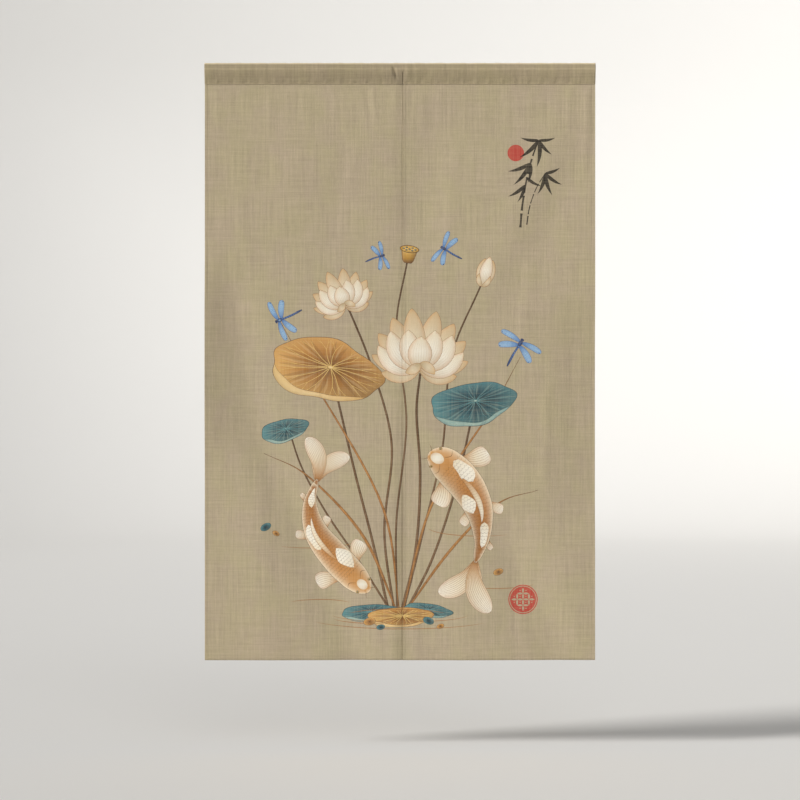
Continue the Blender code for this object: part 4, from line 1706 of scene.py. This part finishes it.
def painted_heading_shading(tree, cloth):
    """The pocket's cloth, with painted light and shade: a painted highlight on its crown, painted shade just
    below it, and painted shade that leaves it duller than the panels further down. Painted light makes its
    right end a little lighter than its left."""
    place = node(tree, "ShaderNodeTexCoord").outputs["Object"]
    parts = node(tree, "ShaderNodeSeparateXYZ", {0: place}).outputs
    share = ranged(tree, parts[2], 0.0, -HEADING_DROP)
    ramp = node(tree, "ShaderNodeValToRGB", {0: share})
    stops = ramp.color_ramp.elements
    stops.remove(stops[1])
    for drop, tone in HEADING_PAINTED_SHADING:
        stop = stops[0] if drop == 0.0 else stops.new(drop / HEADING_DROP)
        stop.color = (tone / 2, tone / 2, tone / 2, 1.0)
    # The ramp holds half of each painted shade, and painted light makes the cloth lighter to the right
    doubled = math_of(tree, "MULTIPLY", ramp.outputs[0], ranged(tree, parts[0], 0.02, 0.36, 1.97, 2.11))

    # The crease beside the slit lies in its own shade
    line = math_of(tree, "MULTIPLY_ADD", share, PINCH.lean, PINCH.x + 0.0025)
    away = math_of(tree, "ABSOLUTE", math_of(tree, "SUBTRACT", parts[0], line))
    lower_down = ranged(tree, share, 0.28, 0.60)
    dusk = math_of(tree, "MULTIPLY", ranged(tree, away, 0.004, 0.011, PINCH_PAINTED_SHADE, 0.0), lower_down)
    tone = math_of(tree, "MULTIPLY", doubled, math_of(tree, "SUBTRACT", 1.0, dusk))
    return node(tree, "ShaderNodeVectorMath", {0: cloth, "Scale": tone}, operation="SCALE").outputs[0]


def thread(name, colour):
    """Matt sewing thread, its tone varying at random in fine flecks."""
    made = bpy.data.materials.new(name)
    made.use_nodes = True
    tree = made.node_tree
    shader = tree.nodes["Principled BSDF"]
    place = node(tree, "ShaderNodeTexCoord").outputs["Object"]
    noise = node(tree, "ShaderNodeTexNoise", {"Vector": place, "Scale": 1400.0, "Detail": 2.0}).outputs[0]
    factor = ranged(tree, noise, 0.3, 0.7, 0.86, 1.12)
    tone = node(tree, "ShaderNodeVectorMath", {0: colour, "Scale": factor}, operation="SCALE").outputs[0]
    tree.links.new(tone, shader.inputs["Base Color"])
    shader.inputs["Roughness"].default_value = 0.8
    return made


def studio(name, colour):
    """A plain matt surface for the floor and the wall."""
    made = bpy.data.materials.new(name)
    made.use_nodes = True
    shader = made.node_tree.nodes["Principled BSDF"]
    shader.inputs["Base Color"].default_value = (*colour, 1.0)
    shader.inputs["Roughness"].default_value = 0.95
    shader.inputs["Specular IOR Level"].default_value = 0.1
    return made


# Making the curtain

def panel_piece(panel, shapes, lines):
    """One panel: its cloth cut along the print, painted, and closed into a sheet with double hems."""
    points, triangles = joined_cells(panel, lines)
    ink_cover = painted(shapes, points[triangles])
    flat = points / 1000.0

    def position(u, z):
        return front_of(panel, u, z)

    thickness = thickness_of(panel, flat[:, 0], flat[:, 1])
    return closed_sheet(panel + "_cloth", position, flat, triangles, thickness, ink_cover)


def dress(piece, material):
    """Gives a piece its material, and lets it ride with the curtain."""
    piece.data.materials.append(material)
    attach(piece, "root")


print_shapes = drawing()
print_lines = seen_lines(print_shapes)
panel_linen = linen("printed_linen", (ink(179, 163, 138), ink(175, 162, 131)), with_print=True)
# The pocket's tones are a little darker than the panels', as painted shade, and its material adds painted
# light and shade by height
heading_linen = linen("heading_linen", (ink(176, 160, 132), ink(172, 158, 126)), shade=painted_heading_shading)
hem_thread = thread("hem_thread", ink(178, 165, 138))
seam_thread = thread("seam_thread", ink(150, 134, 106))

for panel in (LEFT, RIGHT):
    cloth = panel_piece(panel, print_shapes, print_lines)
    sewn = panel_stitches(panel)
    dress(cloth, panel_linen)
    dress(sewn, hem_thread)
    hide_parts(panel)
    low, high = SIDES[panel]

heading_flat, heading_triangles = heading_cells()
heading_thickness = np.full(len(heading_flat), LINEN)
heading = closed_sheet("heading_cloth", heading_at, heading_flat, heading_triangles, heading_thickness)
heading_sewn = heading_stitches()
dress(heading, heading_linen)
dress(heading_sewn, seam_thread)
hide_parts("heading")


# The studio: a round room with a pale floor that curves up into its wall, soft lights, a long lens

def round_room():
    """The floor, a quarter turn and the wall, as one profile carried round the curtain."""
    quarter = np.linspace(0.0, math.pi / 2, 20)
    reach = np.concatenate(((2.0, 5.0), ROOM_RADIUS - COVE + COVE * np.sin(quarter), (ROOM_RADIUS,)))
    height = np.concatenate(((0.0, 0.0), COVE * (1.0 - np.cos(quarter)), (WALL_HEIGHT,))) + FLOOR_Z
    around = np.linspace(0.0, math.tau, ROOM_SIDES, endpoint=False)
    rings = np.stack(
        (
            reach[:, None] * np.cos(around),
            reach[:, None] * np.sin(around),
            np.broadcast_to(height[:, None], (len(reach), ROOM_SIDES)),
        ),
        axis=-1,
    )
    points = np.concatenate((rings.reshape(-1, 3), ((0.0, 0.0, FLOOR_Z),)))
    k = np.arange(ROOM_SIDES)
    after = (k + 1) % ROOM_SIDES
    low = ROOM_SIDES * np.arange(len(reach) - 1)[:, None]
    walls = np.stack((low + k, low + ROOM_SIDES + k, low + ROOM_SIDES + after, low + after), axis=-1)
    middle = np.stack((np.full(ROOM_SIDES, len(points) - 1), k, after), axis=1)
    mesh = bpy.data.meshes.new("studio_room")
    mesh.from_pydata(points, [], [*walls.reshape(-1, 4).tolist(), *middle.tolist()])
    mesh.shade_smooth()
    mesh.materials.append(studio("pale_studio", STUDIO_COLOUR))
    piece = bpy.data.objects.new("studio_room", mesh)
    bpy.context.scene.collection.objects.link(piece)


def far_light(name, place, strength, softness, colour):
    """A light so far off that it reaches every part alike, from the direction of place."""
    made = bpy.data.lights.new(name, "SUN")
    made.energy = strength
    made.angle = math.radians(softness)
    made.color = colour
    light = bpy.data.objects.new(name, made)
    light.location = place
    light.rotation_euler = (-Vector(place)).to_track_quat("-Z", "Y").to_euler()
    bpy.context.scene.collection.objects.link(light)


round_room()
far_light("key", (-8.2, -4.0, 4.1), KEY_STRENGTH, 16.0, (1.0, 0.985, 0.96))
far_light("fill", (1.5, -8.0, 4.0), FILL_STRENGTH, 40.0, (0.97, 0.985, 1.0))

world = bpy.data.worlds.new("soft_room")
world.use_nodes = True
world.node_tree.nodes["Background"].inputs["Color"].default_value = (1.0, 0.995, 0.985, 1.0)
world.node_tree.nodes["Background"].inputs["Strength"].default_value = ROOM_LIGHT
bpy.context.scene.world = world
bpy.context.scene.view_settings.view_transform = "Standard"

lens = bpy.data.cameras.new("front_view")
lens.sensor_width = 36.0
lens.lens = lens.sensor_width * CAMERA_AWAY / VIEW_WIDTH
lens.clip_end = 60.0
camera = bpy.data.objects.new("front_view", lens)
camera.location = (0.0, -CAMERA_AWAY, VIEW_MIDDLE_Z)
camera.rotation_euler = (math.pi / 2, 0.0, 0.0)
bpy.context.scene.collection.objects.link(camera)
bpy.context.scene.camera = camera
